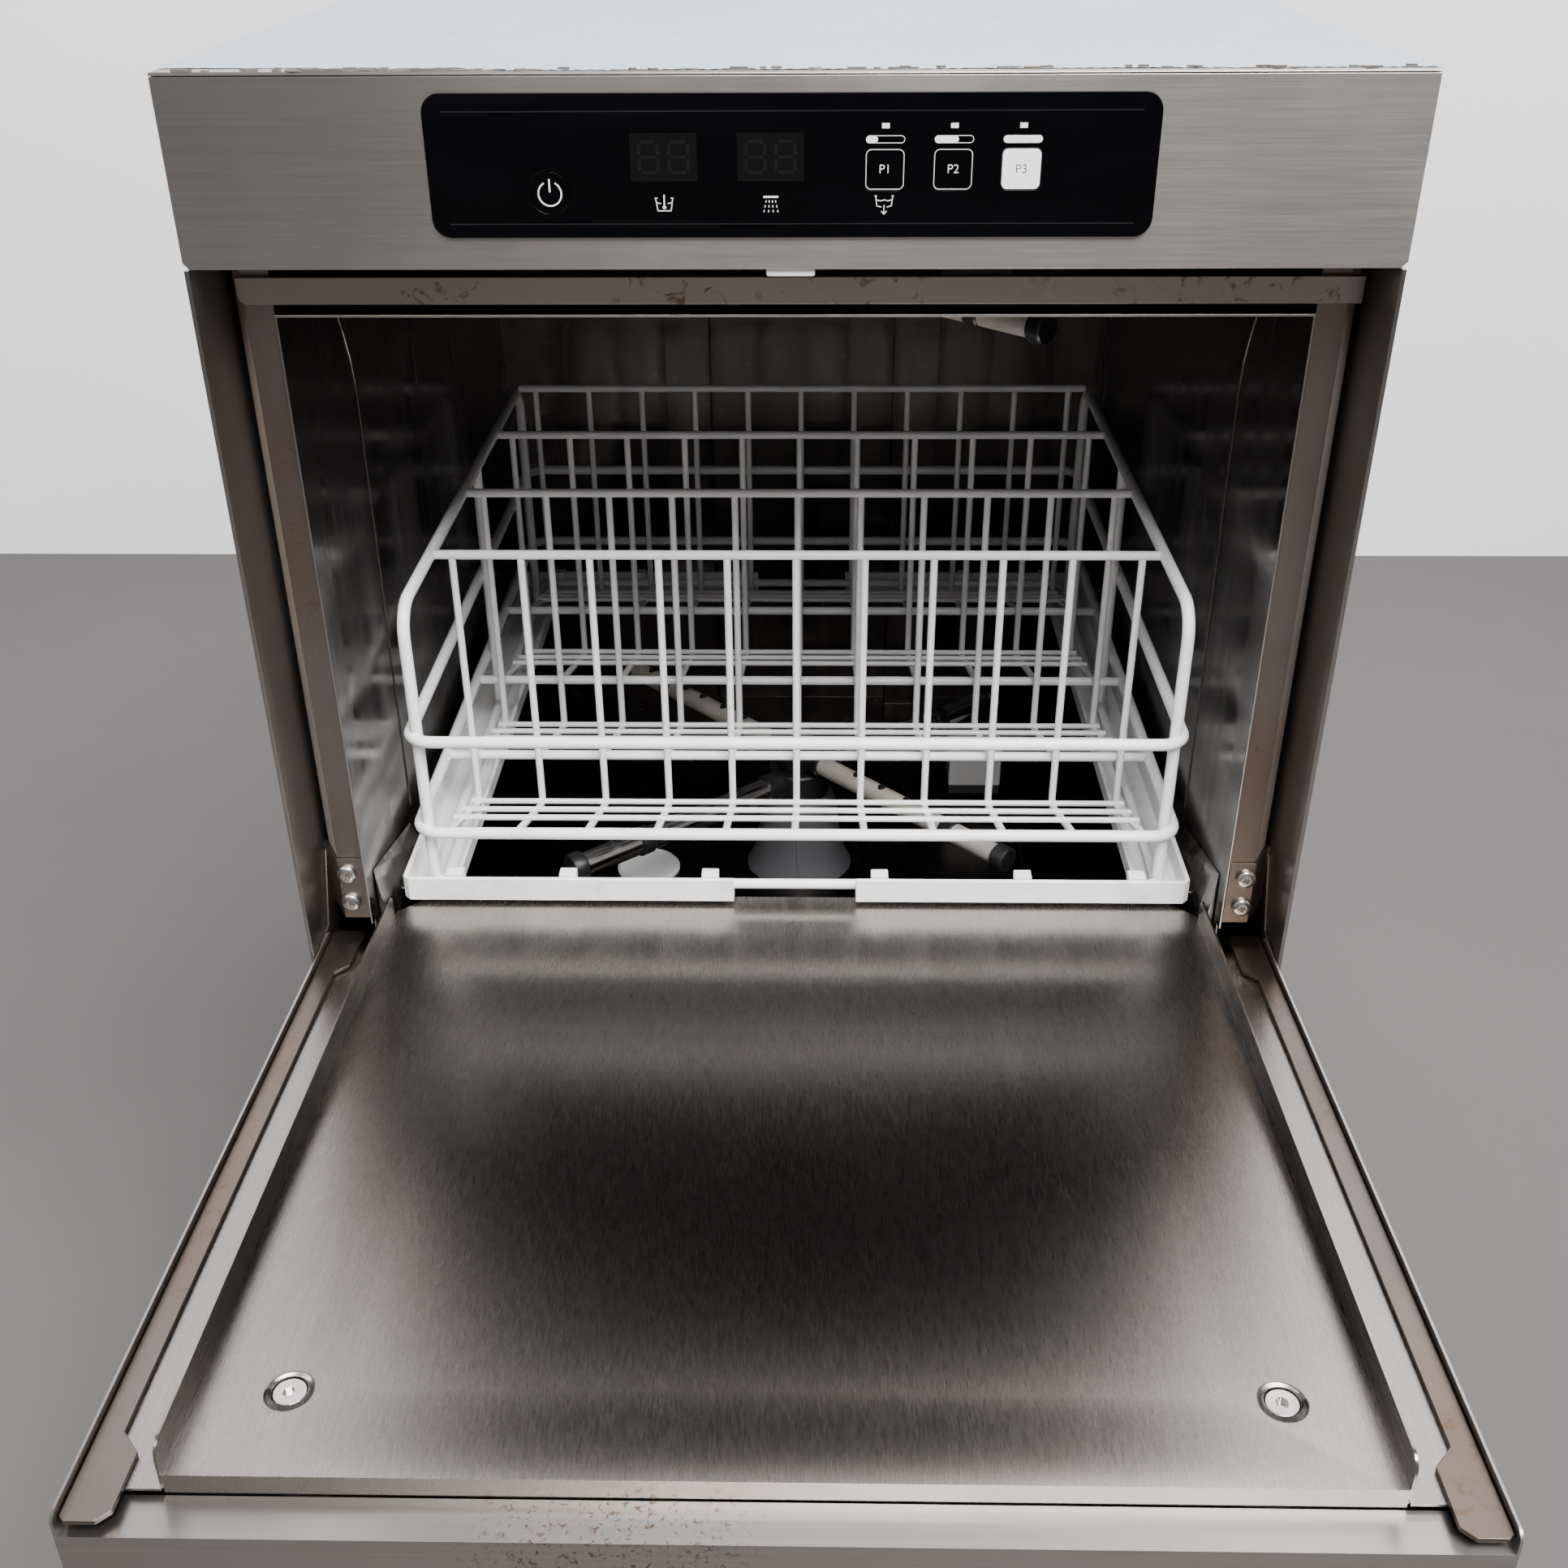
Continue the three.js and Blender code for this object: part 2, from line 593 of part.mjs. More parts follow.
// Door points are (x, depth from the outer face, height above the hinge pin).
const shut = (depth) => depth - HINGE.y;

function doorBlock(x0, x1, d0, d1, h0, h1) {
  return block(x0, x1, shut(d0), shut(d1), h0, h1);
}

function doorSkin() {
  const { half, sheet, foot, tip, wall, tipWall } = DOOR;
  const profile = new THREE.Shape();
  profile.moveTo(shut(0), foot);
  profile.lineTo(shut(wall) - 4, foot);
  profile.absarc(shut(wall) - 4, foot + 4, 4, -Math.PI / 2, 0);
  profile.lineTo(shut(wall), tip - 4);
  profile.absarc(shut(wall) - 4, tip - 4, 4, 0, Math.PI / 2);
  profile.lineTo(shut(0), tip);
  const hollow = outline([
    [shut(sheet), foot - 5], [shut(wall) + 5, foot - 5], [shut(wall) + 5, tip + 5],
    [shut(tipWall), tip + 5], [shut(tipWall), 314.9], [shut(tipWall - sheet), 314.9],
    [shut(tipWall - sheet), tip - sheet], [shut(sheet), tip - sheet],
  ]);
  const pinHoles = rod([-240, 0, 0], [240, 0, 0], HINGE.holeRadius, 16);
  const boltHoles = SIDES.map(([, side]) => rod(
    [side * HANDLE.x, shut(-2), HANDLE.h], [side * HANDLE.x, shut(3), HANDLE.h], 3.6, 16));
  return cut(
    prismX(profile, -half, half),
    prismX(hollow, -half + sheet, half - sheet),
    pinHoles,
    boltHoles,
  );
}
part('door_skin', doorSkin(), 'brushed', door);

function doorLiner() {
  const { sheet, foot, panel, channel, flange, flangeX, panelFoot, panelEnd, lipEnd, half } = DOOR;
  const x = flangeX - sheet;
  const panelPlate = doorBlock(-x - 0.5, x + 0.5, panel - sheet, panel, panelFoot, panelEnd);
  const rolledEdge = doorBlock(-x, x, panel - 8.6, panel, panelEnd - sheet, panelEnd);
  const inner = outline([[-x, panelFoot + 0.5], [-x, -26.7], [-188, -40.7], [-176, lipEnd],
    [176, lipEnd], [188, -40.7], [x, -26.7], [x, panelFoot + 0.5]]);
  const innerLip = prismY(inner, shut(panel - sheet), shut(panel));
  const fin = new THREE.Shape();
  fin.moveTo(shut(channel - sheet), panelFoot);
  fin.lineTo(shut(flange) - 3, panelFoot);
  fin.lineTo(shut(flange), panelFoot + 3);
  fin.lineTo(shut(flange), panelEnd - 6);
  fin.absarc(shut(flange) - 6, panelEnd - 6, 6, 0, Math.PI / 2);
  fin.lineTo(shut(channel - sheet), panelEnd);
  const flanges = SIDES.map(([, side]) => (side > 0
    ? prismX(fin, x, flangeX)
    : prismX(fin, -flangeX, -x)));
  const floors = SIDES.map(([, side]) => join(
    blockAt(side, flangeX - 0.5, half - sheet - GAP, shut(channel - sheet), shut(channel), foot, 315.3),
    prismY(mirrorPoints(side, [[223.5, foot + 0.5], [223.5, -23], [220, -26.7], [211.5, -26.7],
      [211.5, foot + 0.5]]), shut(channel - sheet), shut(channel)),
  ));
  const boltHoles = SIDES.map(([, side]) => rod(
    [side * HANDLE.x, shut(20), HANDLE.h], [side * HANDLE.x, shut(30), HANDLE.h], 6.3, 20));
  return cut(join(panelPlate, rolledEdge, innerLip, flanges, floors), boltHoles);
}
part('door_liner', doorLiner(), 'brushed', door);

function hingeArm(side) {
  const points = [
    [216, -11.7], [218, -13.7], [229, -13.7], [231.2, -11.5], [231.2, 327.5], [229.2, 329.5],
    [219, 329.5], [214.8, 325.3], [214.8, 302.6], [222.2, 294.4], [222.2, 23.3], [216, 16.5],
  ];
  return prismY(mirrorPoints(side, points), shut(DOOR.channel + GAP), shut(DOOR.channel + 2.3));
}

for (const [name, side] of SIDES) {
  part(`door_arm_${name}`, hingeArm(side), 'tinted', door);
  const x = side * HANDLE.x;
  const dish = cut(
    rod([x, shut(22.4), HANDLE.h], [x, shut(26), HANDLE.h], 5.9, 20),
    rod([x, shut(24), HANDLE.h], [x, shut(27), HANDLE.h], 2.3, 6),
  );
  const shank = rod([x, shut(-16), HANDLE.h], [x, shut(22.6), HANDLE.h], 3, 12);
  part(`handle_bolt_${name}`, join(dish, shank), 'chrome', door);
}

function handle() {
  const bar = rod([-HANDLE.half, shut(HANDLE.reach), HANDLE.h], [HANDLE.half, shut(HANDLE.reach), HANDLE.h],
    HANDLE.radius, 16);
  const posts = SIDES.map(([, side]) => rod(
    [side * HANDLE.x, shut(-GAP), HANDLE.h], [side * HANDLE.x, shut(HANDLE.reach), HANDLE.h], 7, 16));
  const sockets = SIDES.map(([, side]) => rod(
    [side * HANDLE.x, shut(2), HANDLE.h], [side * HANDLE.x, shut(-18), HANDLE.h], 3.3, 12));
  return cut(join(bar, posts), sockets);
}
part('door_handle', handle(), 'sheet', door);

door.position.set(0, HINGE.y, HINGE.z);
door.rotation.x = THREE.MathUtils.degToRad(90 - DOOR_TILT);

// ---------------------------------------------------------------- rack

const RACK_BACK = RACK.front + 2 * RACK.half;

// Plastic channel that clips round one half of the basket's bottom ring.
function rackBase(side) {
  const { half, front, bottom, height } = RACK;
  const top = bottom + height;
  const shelf = bottom + 2.3;
  const gapX = 31;
  const walls = [
    blockAt(side, gapX, half, front, front + 2.5, bottom, top),
    blockAt(side, gapX, half, RACK_BACK - 2.5, RACK_BACK, bottom, top),
    blockAt(side, half - 2.5, half, front, RACK_BACK, bottom, top),
    blockAt(side, 172.6, 175, front + 12, RACK_BACK - 12, bottom, top - 4.6),
  ];
  const floors = [
    blockAt(side, gapX, half, front, front + 12, bottom, shelf),
    blockAt(side, gapX, half, RACK_BACK - 12, RACK_BACK, bottom, shelf),
    blockAt(side, 172.6, half, front, RACK_BACK, bottom, shelf),
  ];
  const clips = [43, 115.5, 173].flatMap((x) => [
    blockAt(side, x - 4.3, x + 4.3, front + 1, front + 8, top - 2.6, top + 2.2),
    blockAt(side, x - 4.3, x + 4.3, RACK_BACK - 8, RACK_BACK - 1, top - 2.6, top + 2.2),
  ]);
  const cornerCut = side > 0
    ? prismZ(outline([[half - 4, front - 1], [half + 1, front - 1], [half + 1, front + 4]]), 300, 320)
    : prismZ(outline([[-half - 1, front - 1], [-half + 4, front - 1], [-half - 1, front + 4]]), 300, 320);
  return cut(join(walls, floors, clips), cornerCut);
}
part('rack_base_left', rackBase(-1), 'whitePlastic', rack);
part('rack_base_right', rackBase(1), 'whitePlastic', rack);

function rackBasket() {
  const front = RACK.front;
  const frames = SIDES.flatMap(([, side]) => {
    const x = side * POST_X;
    return [
      rod([x, front + 10, 309], [x, front + 10, RACK_TOP], WIRE.post, FRAME_SIDES),
      rod([x, front + 9, RACK_TOP], [x, 416, RACK_TOP], WIRE.post, FRAME_SIDES),
      rod([x, 414, 309], [x, 414, RACK_TOP], WIRE.post, FRAME_SIDES),
      rod([x, 258, 309], [x, 258, RACK_TOP], WIRE.post, FRAME_SIDES),
    ];
  });
  const rings = [
    hoop(POST_X, front + 6.3, RACK_BACK - 6.3, 309, 2.6, 8),
    hoop(190.6, front + 4, RACK_BACK - 4, FLOOR_HIGH, WIRE.post, 9),
    hoop(189.6, front + 4, RACK_BACK - 4, 392, WIRE.post, 9),
  ];
  const rows = DIVIDERS.flatMap((y, row) => {
    const start = ROW_STARTS[row];
    const cross = [rod([-POST_X, y, RACK_TOP], [POST_X, y, RACK_TOP], WIRE.divider, UPRIGHT_SIDES)];
    if (row > 0) {
      cross.push(rod([-190, start, FLOOR_HIGH], [190, start, FLOOR_HIGH], WIRE.post - 0.4, UPRIGHT_SIDES));
    }
    const fall = (FLOOR_HIGH - FLOOR_LOW) / (y - start);
    for (const back of [3, 27, 47]) {
      const z = FLOOR_LOW + fall * back + 1.6;
      cross.push(rod([-177, y - back, z], [177, y - back, z], WIRE.thin, UPRIGHT_SIDES));
    }
    const r = WIRE.upright;
    const side = outline([
      [y + r, FLOOR_LOW - r], [y + r, RACK_TOP], [y - r, RACK_TOP], [y - r, FLOOR_LOW + 1.2 * r],
      [start, FLOOR_HIGH + r], [start, FLOOR_HIGH - r], [y - 0.4 * r, FLOOR_LOW - r],
    ]);
    const columns = [-5, -4, -3, -2, -1, 0, 1, 2, 3, 4, 5].map((i) => prismX(
      side, i * UPRIGHT_PITCH - r, i * UPRIGHT_PITCH + r));
    return [...cross, ...columns];
  });
  return join(frames, rings, rows);
}
part('rack_basket', rackBasket(), 'coatedWire', rack);

// ---------------------------------------------------------------- origin in the middle of the footprint

const tilt = THREE.MathUtils.degToRad(DOOR_TILT);
const doorFront = HINGE.y - DOOR.tip * Math.cos(tilt) - HINGE.y * Math.sin(tilt);
const REAR_MOST = 552;
machine.position.y = -(doorFront + REAR_MOST) / 2;

export default machine;
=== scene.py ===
"""Glass washer: an under-counter machine with its door down and a wire rack in the tank.

Lengths are millimetres in the machine's own frame: x to the right, y from the front of the fascia
into the machine, z up from the floor. at() turns them into the scene's metres.
"""

import math
import random

import bmesh
import bpy
from bpy.props import FloatProperty, FloatVectorProperty, IntProperty, PointerProperty
from mathutils import Matrix, Vector


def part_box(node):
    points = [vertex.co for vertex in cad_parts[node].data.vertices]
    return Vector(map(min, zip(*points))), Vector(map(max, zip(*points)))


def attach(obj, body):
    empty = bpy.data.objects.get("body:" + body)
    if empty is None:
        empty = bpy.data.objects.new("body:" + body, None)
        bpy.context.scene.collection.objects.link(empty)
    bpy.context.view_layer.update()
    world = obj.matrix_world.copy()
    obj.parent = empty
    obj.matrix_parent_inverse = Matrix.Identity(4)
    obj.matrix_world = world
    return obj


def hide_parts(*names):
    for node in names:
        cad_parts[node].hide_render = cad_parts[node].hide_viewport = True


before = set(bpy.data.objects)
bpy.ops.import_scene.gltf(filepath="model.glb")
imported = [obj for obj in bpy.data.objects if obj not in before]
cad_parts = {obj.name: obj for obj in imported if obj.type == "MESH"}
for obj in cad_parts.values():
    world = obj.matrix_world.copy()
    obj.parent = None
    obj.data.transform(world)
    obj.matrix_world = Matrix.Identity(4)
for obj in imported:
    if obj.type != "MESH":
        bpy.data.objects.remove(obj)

bl_info = {
    "name": "Glass washer",
    "version": (1, 0, 0),
    "blender": (4, 5, 0),
    "location": "View3D > Sidebar > Glass washer",
    "description": "Builds the finished pieces of a glass washer on its packed frame",
    "category": "Add Mesh",
}

MM = 0.001
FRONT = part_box("front_fascia")[0].y
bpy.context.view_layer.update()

TOP = 700
CENTRE_Y = 262
HINGE_Y, HINGE_Z = 14.8, 289.8
DOOR_TURN = math.radians(90 - 2.14)
HANDLE_X, HANDLE_OUT, HANDLE_HEIGHT = 170, -34, 279.3


def at(x, y, z):
    """A point of the machine, in the scene."""
    return Vector((x * MM, FRONT + y * MM, z * MM))


def on_door(x, depth, height):
    """A point of the open door: depth from its outer face, height above its hinge pin."""
    y = depth - HINGE_Y
    return at(
        x,
        HINGE_Y + y * math.cos(DOOR_TURN) - height * math.sin(DOOR_TURN),
        HINGE_Z + y * math.sin(DOOR_TURN) + height * math.cos(DOOR_TURN),
    )


# ---------------------------------------------------------------- settings


class WasherRackSizes(bpy.types.PropertyGroup):
    """Sizes of the wire rack."""

    uprights: IntProperty(name="Uprights", description="Upright wires in each row", default=11, min=2)
    pitch: FloatProperty(
        name="Pitch", description="Distance between upright wires", default=0.0348, unit="LENGTH"
    )
    frame_wire: FloatProperty(
        name="Frame wire", description="Radius of the frame wire", default=0.003, unit="LENGTH"
    )
    upright_wire: FloatProperty(
        name="Upright wire", description="Radius of the upright wire", default=0.0019, unit="LENGTH"
    )
    thin_wire: FloatProperty(
        name="Thin wire", description="Radius of the thin cross wire", default=0.0016, unit="LENGTH"
    )
    coating: FloatVectorProperty(
        name="Coating", description="Colour of the plastic coating", default=(0.93, 0.92, 0.915),
        subtype="COLOR", size=3,
    )


class WasherFinishes(bpy.types.PropertyGroup):
    """Colours of the cabinet."""

    steel: FloatVectorProperty(
        name="Steel", description="Colour of the brushed steel", default=(0.372, 0.346, 0.326),
        subtype="COLOR", size=3,
    )
    tank: FloatVectorProperty(
        name="Tank", description="Colour of the tank's polished steel", default=(0.115, 0.103, 0.095),
        subtype="COLOR", size=3,
    )
    film: FloatVectorProperty(
        name="Film", description="Colour of the protective film on the top", default=(0.238, 0.292, 0.325),
        subtype="COLOR", size=3,
    )
    edge: FloatProperty(
        name="Edge", description="Radius of the folded sheet's edges", default=0.0003, unit="LENGTH"
    )


class WasherStage(bpy.types.PropertyGroup):
    """Floor, backdrop, lights and camera."""

    floor: FloatVectorProperty(
        name="Floor", description="Colour of the floor", default=(0.066, 0.063, 0.061),
        subtype="COLOR", size=3,
    )
    wall: FloatVectorProperty(
        name="Wall", description="Colour of the backdrop", default=(0.80, 0.79, 0.815),
        subtype="COLOR", size=3,
    )
    lens: FloatProperty(name="Lens", description="Focal length of the camera in mm", default=37.764)


# ---------------------------------------------------------------- finishes


# The colour sockets of a Mix node, by their place among its inputs and outputs.
MIX_FACTOR, MIX_FIRST, MIX_SECOND, MIX_RESULT = 0, 6, 7, 2


def put_node(tree, kind, values=None, **settings):
    """Adds a node, and feeds its inputs with numbers, colours or other nodes' outputs."""
    node = tree.nodes.new(kind)
    for key, value in settings.items():
        setattr(node, key, value)
    for key, value in (values or {}).items():
        if isinstance(value, bpy.types.NodeSocket):
            tree.links.new(value, node.inputs[key])
        else:
            node.inputs[key].default_value = value
    return node


class Finish:
    """A node material while it is being put together."""

    def __init__(self, name, color, roughness, metallic=0.0):
        self.material = bpy.data.materials.new(name)
        self.material.use_nodes = True
        self.tree = self.material.node_tree
        self.tree.nodes.clear()
        base = {"Base Color": (*color, 1), "Roughness": roughness, "Metallic": metallic}
        self.shader = self.put("ShaderNodeBsdfPrincipled", base)
        self.put("ShaderNodeOutputMaterial", {"Surface": self.shader.outputs["BSDF"]})
        self.place = self.put("ShaderNodeTexCoord").outputs["Object"]

    def put(self, kind, values=None, **settings):
        return put_node(self.tree, kind, values, **settings)

    def link(self, source, target):
        self.tree.links.new(source, target)

    def noise(self, scale, detail=3.0, along=(1, 1, 1), turn=(0, 0, 0), rough=0.5, swirl=0.0):
        stretched = self.put("ShaderNodeMapping", {"Vector": self.place, "Scale": along, "Rotation": turn})
        values = {"Vector": stretched.outputs["Vector"], "Scale": scale, "Detail": detail,
                  "Roughness": rough, "Distortion": swirl}
        return self.put("ShaderNodeTexNoise", values).outputs[0]

    def axis(self, name):
        return self.put("ShaderNodeSeparateXYZ", {0: self.place}).outputs[name]

    def spread(self, value, low, high, start=0.0, end=1.0):
        values = {"Value": value, "From Min": low, "From Max": high, "To Min": start, "To Max": end}
        return self.put("ShaderNodeMapRange", values, interpolation_type="SMOOTHSTEP").outputs["Result"]

    def reckon(self, operation, first, second=0.0):
        return self.put("ShaderNodeMath", {0: first, 1: second}, operation=operation).outputs[0]

    def times(self, first, second):
        return self.reckon("MULTIPLY", first, second)

    def plus(self, first, second):
        return self.reckon("ADD", first, second)

    def distance(self, value, middle):
        return self.reckon("ABSOLUTE", self.reckon("SUBTRACT", value, middle))

    def blend(self, factor, first, second):
        first, second = (
            value if isinstance(value, bpy.types.NodeSocket) else (*value, 1) for value in (first, second)
        )
        values = {MIX_FACTOR: factor, MIX_FIRST: first, MIX_SECOND: second}
        return self.put("ShaderNodeMix", values, data_type="RGBA").outputs[MIX_RESULT]

    def hairlines(self, along, turn, width=0.006, sparse=(0.56, 0.62)):
        """Sparse thin scratches: the mid contour of a stretched noise, masked by a broad one."""
        line = self.noise(1.0, 1.0, along, turn)
        thin = self.spread(self.distance(line, 0.5), 0.0, width, 1.0, 0.0)
        mask = self.spread(self.noise(14.0, 2.0), *sparse)
        return self.times(thin, mask)

    def color(self, value):
        self.link(value, self.shader.inputs["Base Color"])

    def roughness(self, value):
        self.link(value, self.shader.inputs["Roughness"])

    def bump(self, height, strength, distance):
        node = self.put("ShaderNodeBump", {"Strength": strength, "Distance": distance, "Height": height})
        self.link(node.outputs["Normal"], self.shader.inputs["Normal"])
        return node

    def across(self, amount):
        """Stretches highlights across the grain, by the piece's own map."""
        node = self.put("ShaderNodeTangent", direction_type="UV_MAP", uv_map="grain")
        self.link(node.outputs[0], self.shader.inputs["Tangent"])
        self.shader.inputs["Anisotropic"].default_value = amount


GRAINS = {"X": (1, 0, 0), "Y": (0, 1, 0), "Z": (0, 0, 1)}


def shade(color, by):
    return tuple(min(1.0, channel * by) for channel in color)


def brushed_steel(name, color, grain, roughness=0.33, stains=0.0, tint=None, sheen=0.7, scratches=0.1,
                  smudged=0.09, spot=120.0, patch=None):
    """Brushed stainless sheet: grain streaks, handling marks, a few scratches, water stains.

    patch is the middle and the half width, in x, of the only part that is stained.
    """
    finish = Finish(name, color, roughness, 1.0)
    along = GRAINS[grain]
    wide = tuple(5 if on else 700 for on in along)
    fine = tuple(24 if on else 3600 for on in along)
    streak = finish.noise(1.0, 3.0, wide)
    hair = finish.noise(1.0, 2.0, fine)
    smudge = finish.noise(7.0, 5.0, rough=0.6, swirl=0.4)
    tone = finish.blend(finish.spread(streak, 0.3, 0.7), shade(color, 0.965), shade(color, 1.035))
    tone = finish.blend(finish.spread(smudge, 0.45, 0.75, 0, 0.3), tone, shade(color, 0.8))
    if tint:
        cloud = finish.noise(11.0, 3.0, swirl=0.3)
        tone = finish.blend(finish.spread(cloud, 0.34, 0.66, 0.25, 0.95), tone, tint)
    if stains:
        spots = finish.spread(finish.noise(spot, 4.0, rough=0.65, swirl=0.8), 0.56, 0.64)
        zones = finish.spread(finish.noise(11.0, 2.0), 0.48, 0.6)
        if patch:
            middle, half = patch
            zones = finish.spread(finish.distance(finish.axis("X"), middle), half, half * 0.4)
        tone = finish.blend(finish.times(finish.times(spots, zones), stains), tone, (0.14, 0.075, 0.04))
    marks = finish.hairlines(tuple(3 if on else 190 for on in along), (0.06, 0.05, 0.12))
    tone = finish.blend(finish.times(marks, scratches), tone, shade(color, 1.7))
    finish.color(tone)
    fine_wear = finish.spread(hair, 0.3, 0.7, -0.02, 0.02)
    broad_wear = finish.spread(smudge, 0.4, 0.8, 0, smudged)
    finish.roughness(finish.plus(finish.plus(fine_wear, broad_wear), roughness))
    finish.grain_bump = finish.bump(finish.plus(hair, finish.times(streak, 0.35)), 0.08, 0.000003)
    finish.across(sheen)
    return finish


def door_panel_steel(name, color):
    """The door's inner panel: worn brushed steel with specks, long marks and a drawn-in rim."""
    finish = brushed_steel(name, color, "Y", roughness=0.27, sheen=0.7, scratches=0.15, smudged=0.02)
    shader = finish.shader
    tone = shader.inputs["Base Color"].links[0].from_socket
    veil = finish.spread(finish.noise(3.2, 4.0, (1.0, 1.6, 1), rough=0.6), 0.35, 0.75, 0.0, 0.35)
    tone = finish.blend(veil, tone, shade(color, 0.72))
    specks = finish.spread(finish.noise(420.0, 1.0), 0.83, 0.86)
    zone = finish.spread(finish.noise(6.0, 2.0), 0.5, 0.7)
    tone = finish.blend(finish.times(specks, zone), tone, (0.8, 0.78, 0.74))
    drips = finish.spread(finish.noise(1.0, 3.0, (34, 4.5, 34), swirl=0.5), 0.6, 0.78, 0, 0.3)
    tone = finish.blend(drips, tone, shade(color, 1.35))
    finish.color(tone)
    x, y = finish.axis("X"), finish.axis("Y")
    wide = finish.spread(finish.reckon("ABSOLUTE", x), 0.150, 0.199)
    near = finish.spread(y, FRONT - 0.062, FRONT - 0.012)
    far = finish.spread(y, FRONT - 0.262, FRONT - 0.300)
    rim = finish.reckon("MAXIMUM", wide, finish.reckon("MAXIMUM", near, far))
    bolt = on_door(HANDLE_X, 26, HANDLE_HEIGHT)
    aside = finish.reckon("SUBTRACT", finish.reckon("ABSOLUTE", x), bolt.x)
    along = finish.reckon("SUBTRACT", y, bolt.y)
    away = finish.reckon("SQRT", finish.plus(finish.times(aside, aside), finish.times(along, along)))
    height = finish.plus(finish.times(rim, 1.3), finish.spread(away, 0.0060, 0.0090, 0.0, 1.6))
    press = finish.put("ShaderNodeBump", {"Strength": 1.0, "Distance": 0.001, "Height": height})
    finish.link(press.outputs["Normal"], finish.grain_bump.inputs["Normal"])
    return finish


def tank_steel(name, color, roughness=0.16):
    """Polished tank steel with lime runs and a film of dried water."""
    finish = Finish(name, color, roughness, 1.0)
    runs = finish.noise(1.0, 4.0, (60, 60, 4), swirl=0.4)
    cloud = finish.noise(6.0, 5.0, rough=0.62, swirl=0.5)
    tone = finish.blend(finish.spread(runs, 0.4, 0.8, 0, 0.5), color, shade(color, 1.5))
    tone = finish.blend(finish.spread(cloud, 0.4, 0.75, 0, 0.6), tone, shade(color, 0.6))
    spots = finish.spread(finish.noise(160.0, 2.0), 0.68, 0.74, 0, 0.35)
    tone = finish.blend(spots, tone, shade(color, 2.2))
    finish.color(tone)
    dulled = finish.plus(runs, cloud)
    finish.roughness(finish.spread(dulled, 0.7, 1.3, roughness - 0.04, roughness + 0.12))
    finish.bump(finish.noise(14.0, 3.0), 0.3, 0.0006)
    return finish


def coated_wire(name, color):
    """White plastic coating, a little grey where it is handled and rusty at a few welds."""
    finish = Finish(name, color, 0.38)
    grime = finish.noise(26.0, 4.0, rough=0.6)
    tone = finish.blend(finish.spread(grime, 0.45, 0.8, 0, 0.55), color, shade(color, 0.8))
    rust = finish.spread(finish.noise(58.0, 5.0, rough=0.6, swirl=0.5), 0.69, 0.76)
    place = finish.spread(finish.noise(9.0, 1.0), 0.52, 0.6)
    tone = finish.blend(finish.times(rust, place), tone, (0.36, 0.17, 0.07))
    finish.color(tone)
    finish.roughness(finish.spread(grime, 0.3, 0.8, 0.3, 0.52))
    finish.bump(finish.noise(380.0, 2.0), 0.12, 0.0002)
    finish.shader.inputs["Coat Weight"].default_value = 0.2
    finish.shader.inputs["Coat Roughness"].default_value = 0.2
    return finish


def moulded(name, color, roughness=0.45, grime=(0.2, 0.19, 0.18), amount=0.35, grit=900.0):
    """Moulded plastic with a fine texture and some dirt in the clouds of a soft noise."""
    finish = Finish(name, color, roughness)
    cloud = finish.noise(34.0, 5.0, rough=0.65)
    finish.color(finish.blend(finish.spread(cloud, 0.5, 0.78, 0, amount), color, grime))
    finish.roughness(finish.spread(cloud, 0.3, 0.8, roughness - 0.06, roughness + 0.1))
    finish.bump(finish.noise(grit, 2.0), 0.15, 0.00015)
    return finish


def painted_shadow_foot(finish, height):
    """Paints a shadow into a finish: turns it dark below a height."""
    tone = finish.shader.inputs["Base Color"].links[0].from_socket
    above = finish.spread(finish.axis("Z"), height - 0.0004, height)
    finish.color(finish.blend(above, (0.02, 0.02, 0.02), tone))
    return finish


def film_plastic(name, color):
    """Protective film on the top: scuffed, finely creased, with traces of a blue marker."""
    finish = Finish(name, color, 0.32, 0.25)
    cloud = finish.noise(5.0, 5.0, rough=0.6, swirl=0.5)
    crease = finish.noise(1.0, 4.0, (45, 190, 45), (0, 0, 0.35), swirl=0.8)
    tone = finish.blend(finish.spread(cloud, 0.35, 0.7, 0, 0.8), color, shade(color, 1.18))
    scuff = finish.hairlines((22, 70, 22), (0, 0, 0.6), 0.012, (0.5, 0.6))
    tone = finish.blend(finish.times(scuff, 0.55), tone, shade(color, 1.4))
    pen = finish.hairlines((16, 30, 16), (0, 0, -0.5), 0.006, (0.6, 0.66))
    tone = finish.blend(finish.times(pen, 0.55), tone, (0.16, 0.26, 0.55))
    finish.color(tone)
    finish.roughness(finish.spread(crease, 0.3, 0.7, 0.24, 0.46))
    finish.bump(crease, 0.5, 0.0004)
    return finish


def gloss_overlay(name, color):
    """Glossy printed film over the controls, with dust and fine rubbing."""
    finish = Finish(name, color, 0.1)
    finish.shader.inputs["Specular IOR Level"].default_value = 0.16
    dust = finish.spread(finish.noise(900.0, 2.0), 0.78, 0.84, 0, 0.12)
    wipe = finish.noise(1.0, 4.0, (18, 18, 60), (0, 0.5, 0))
    finish.color(finish.blend(dust, color, (0.25, 0.25, 0.25)))
    finish.roughness(finish.spread(wipe, 0.35, 0.75, 0.08, 0.2))
    finish.bump(finish.noise(1500.0, 1.0), 0.03, 0.00005)
    return finish


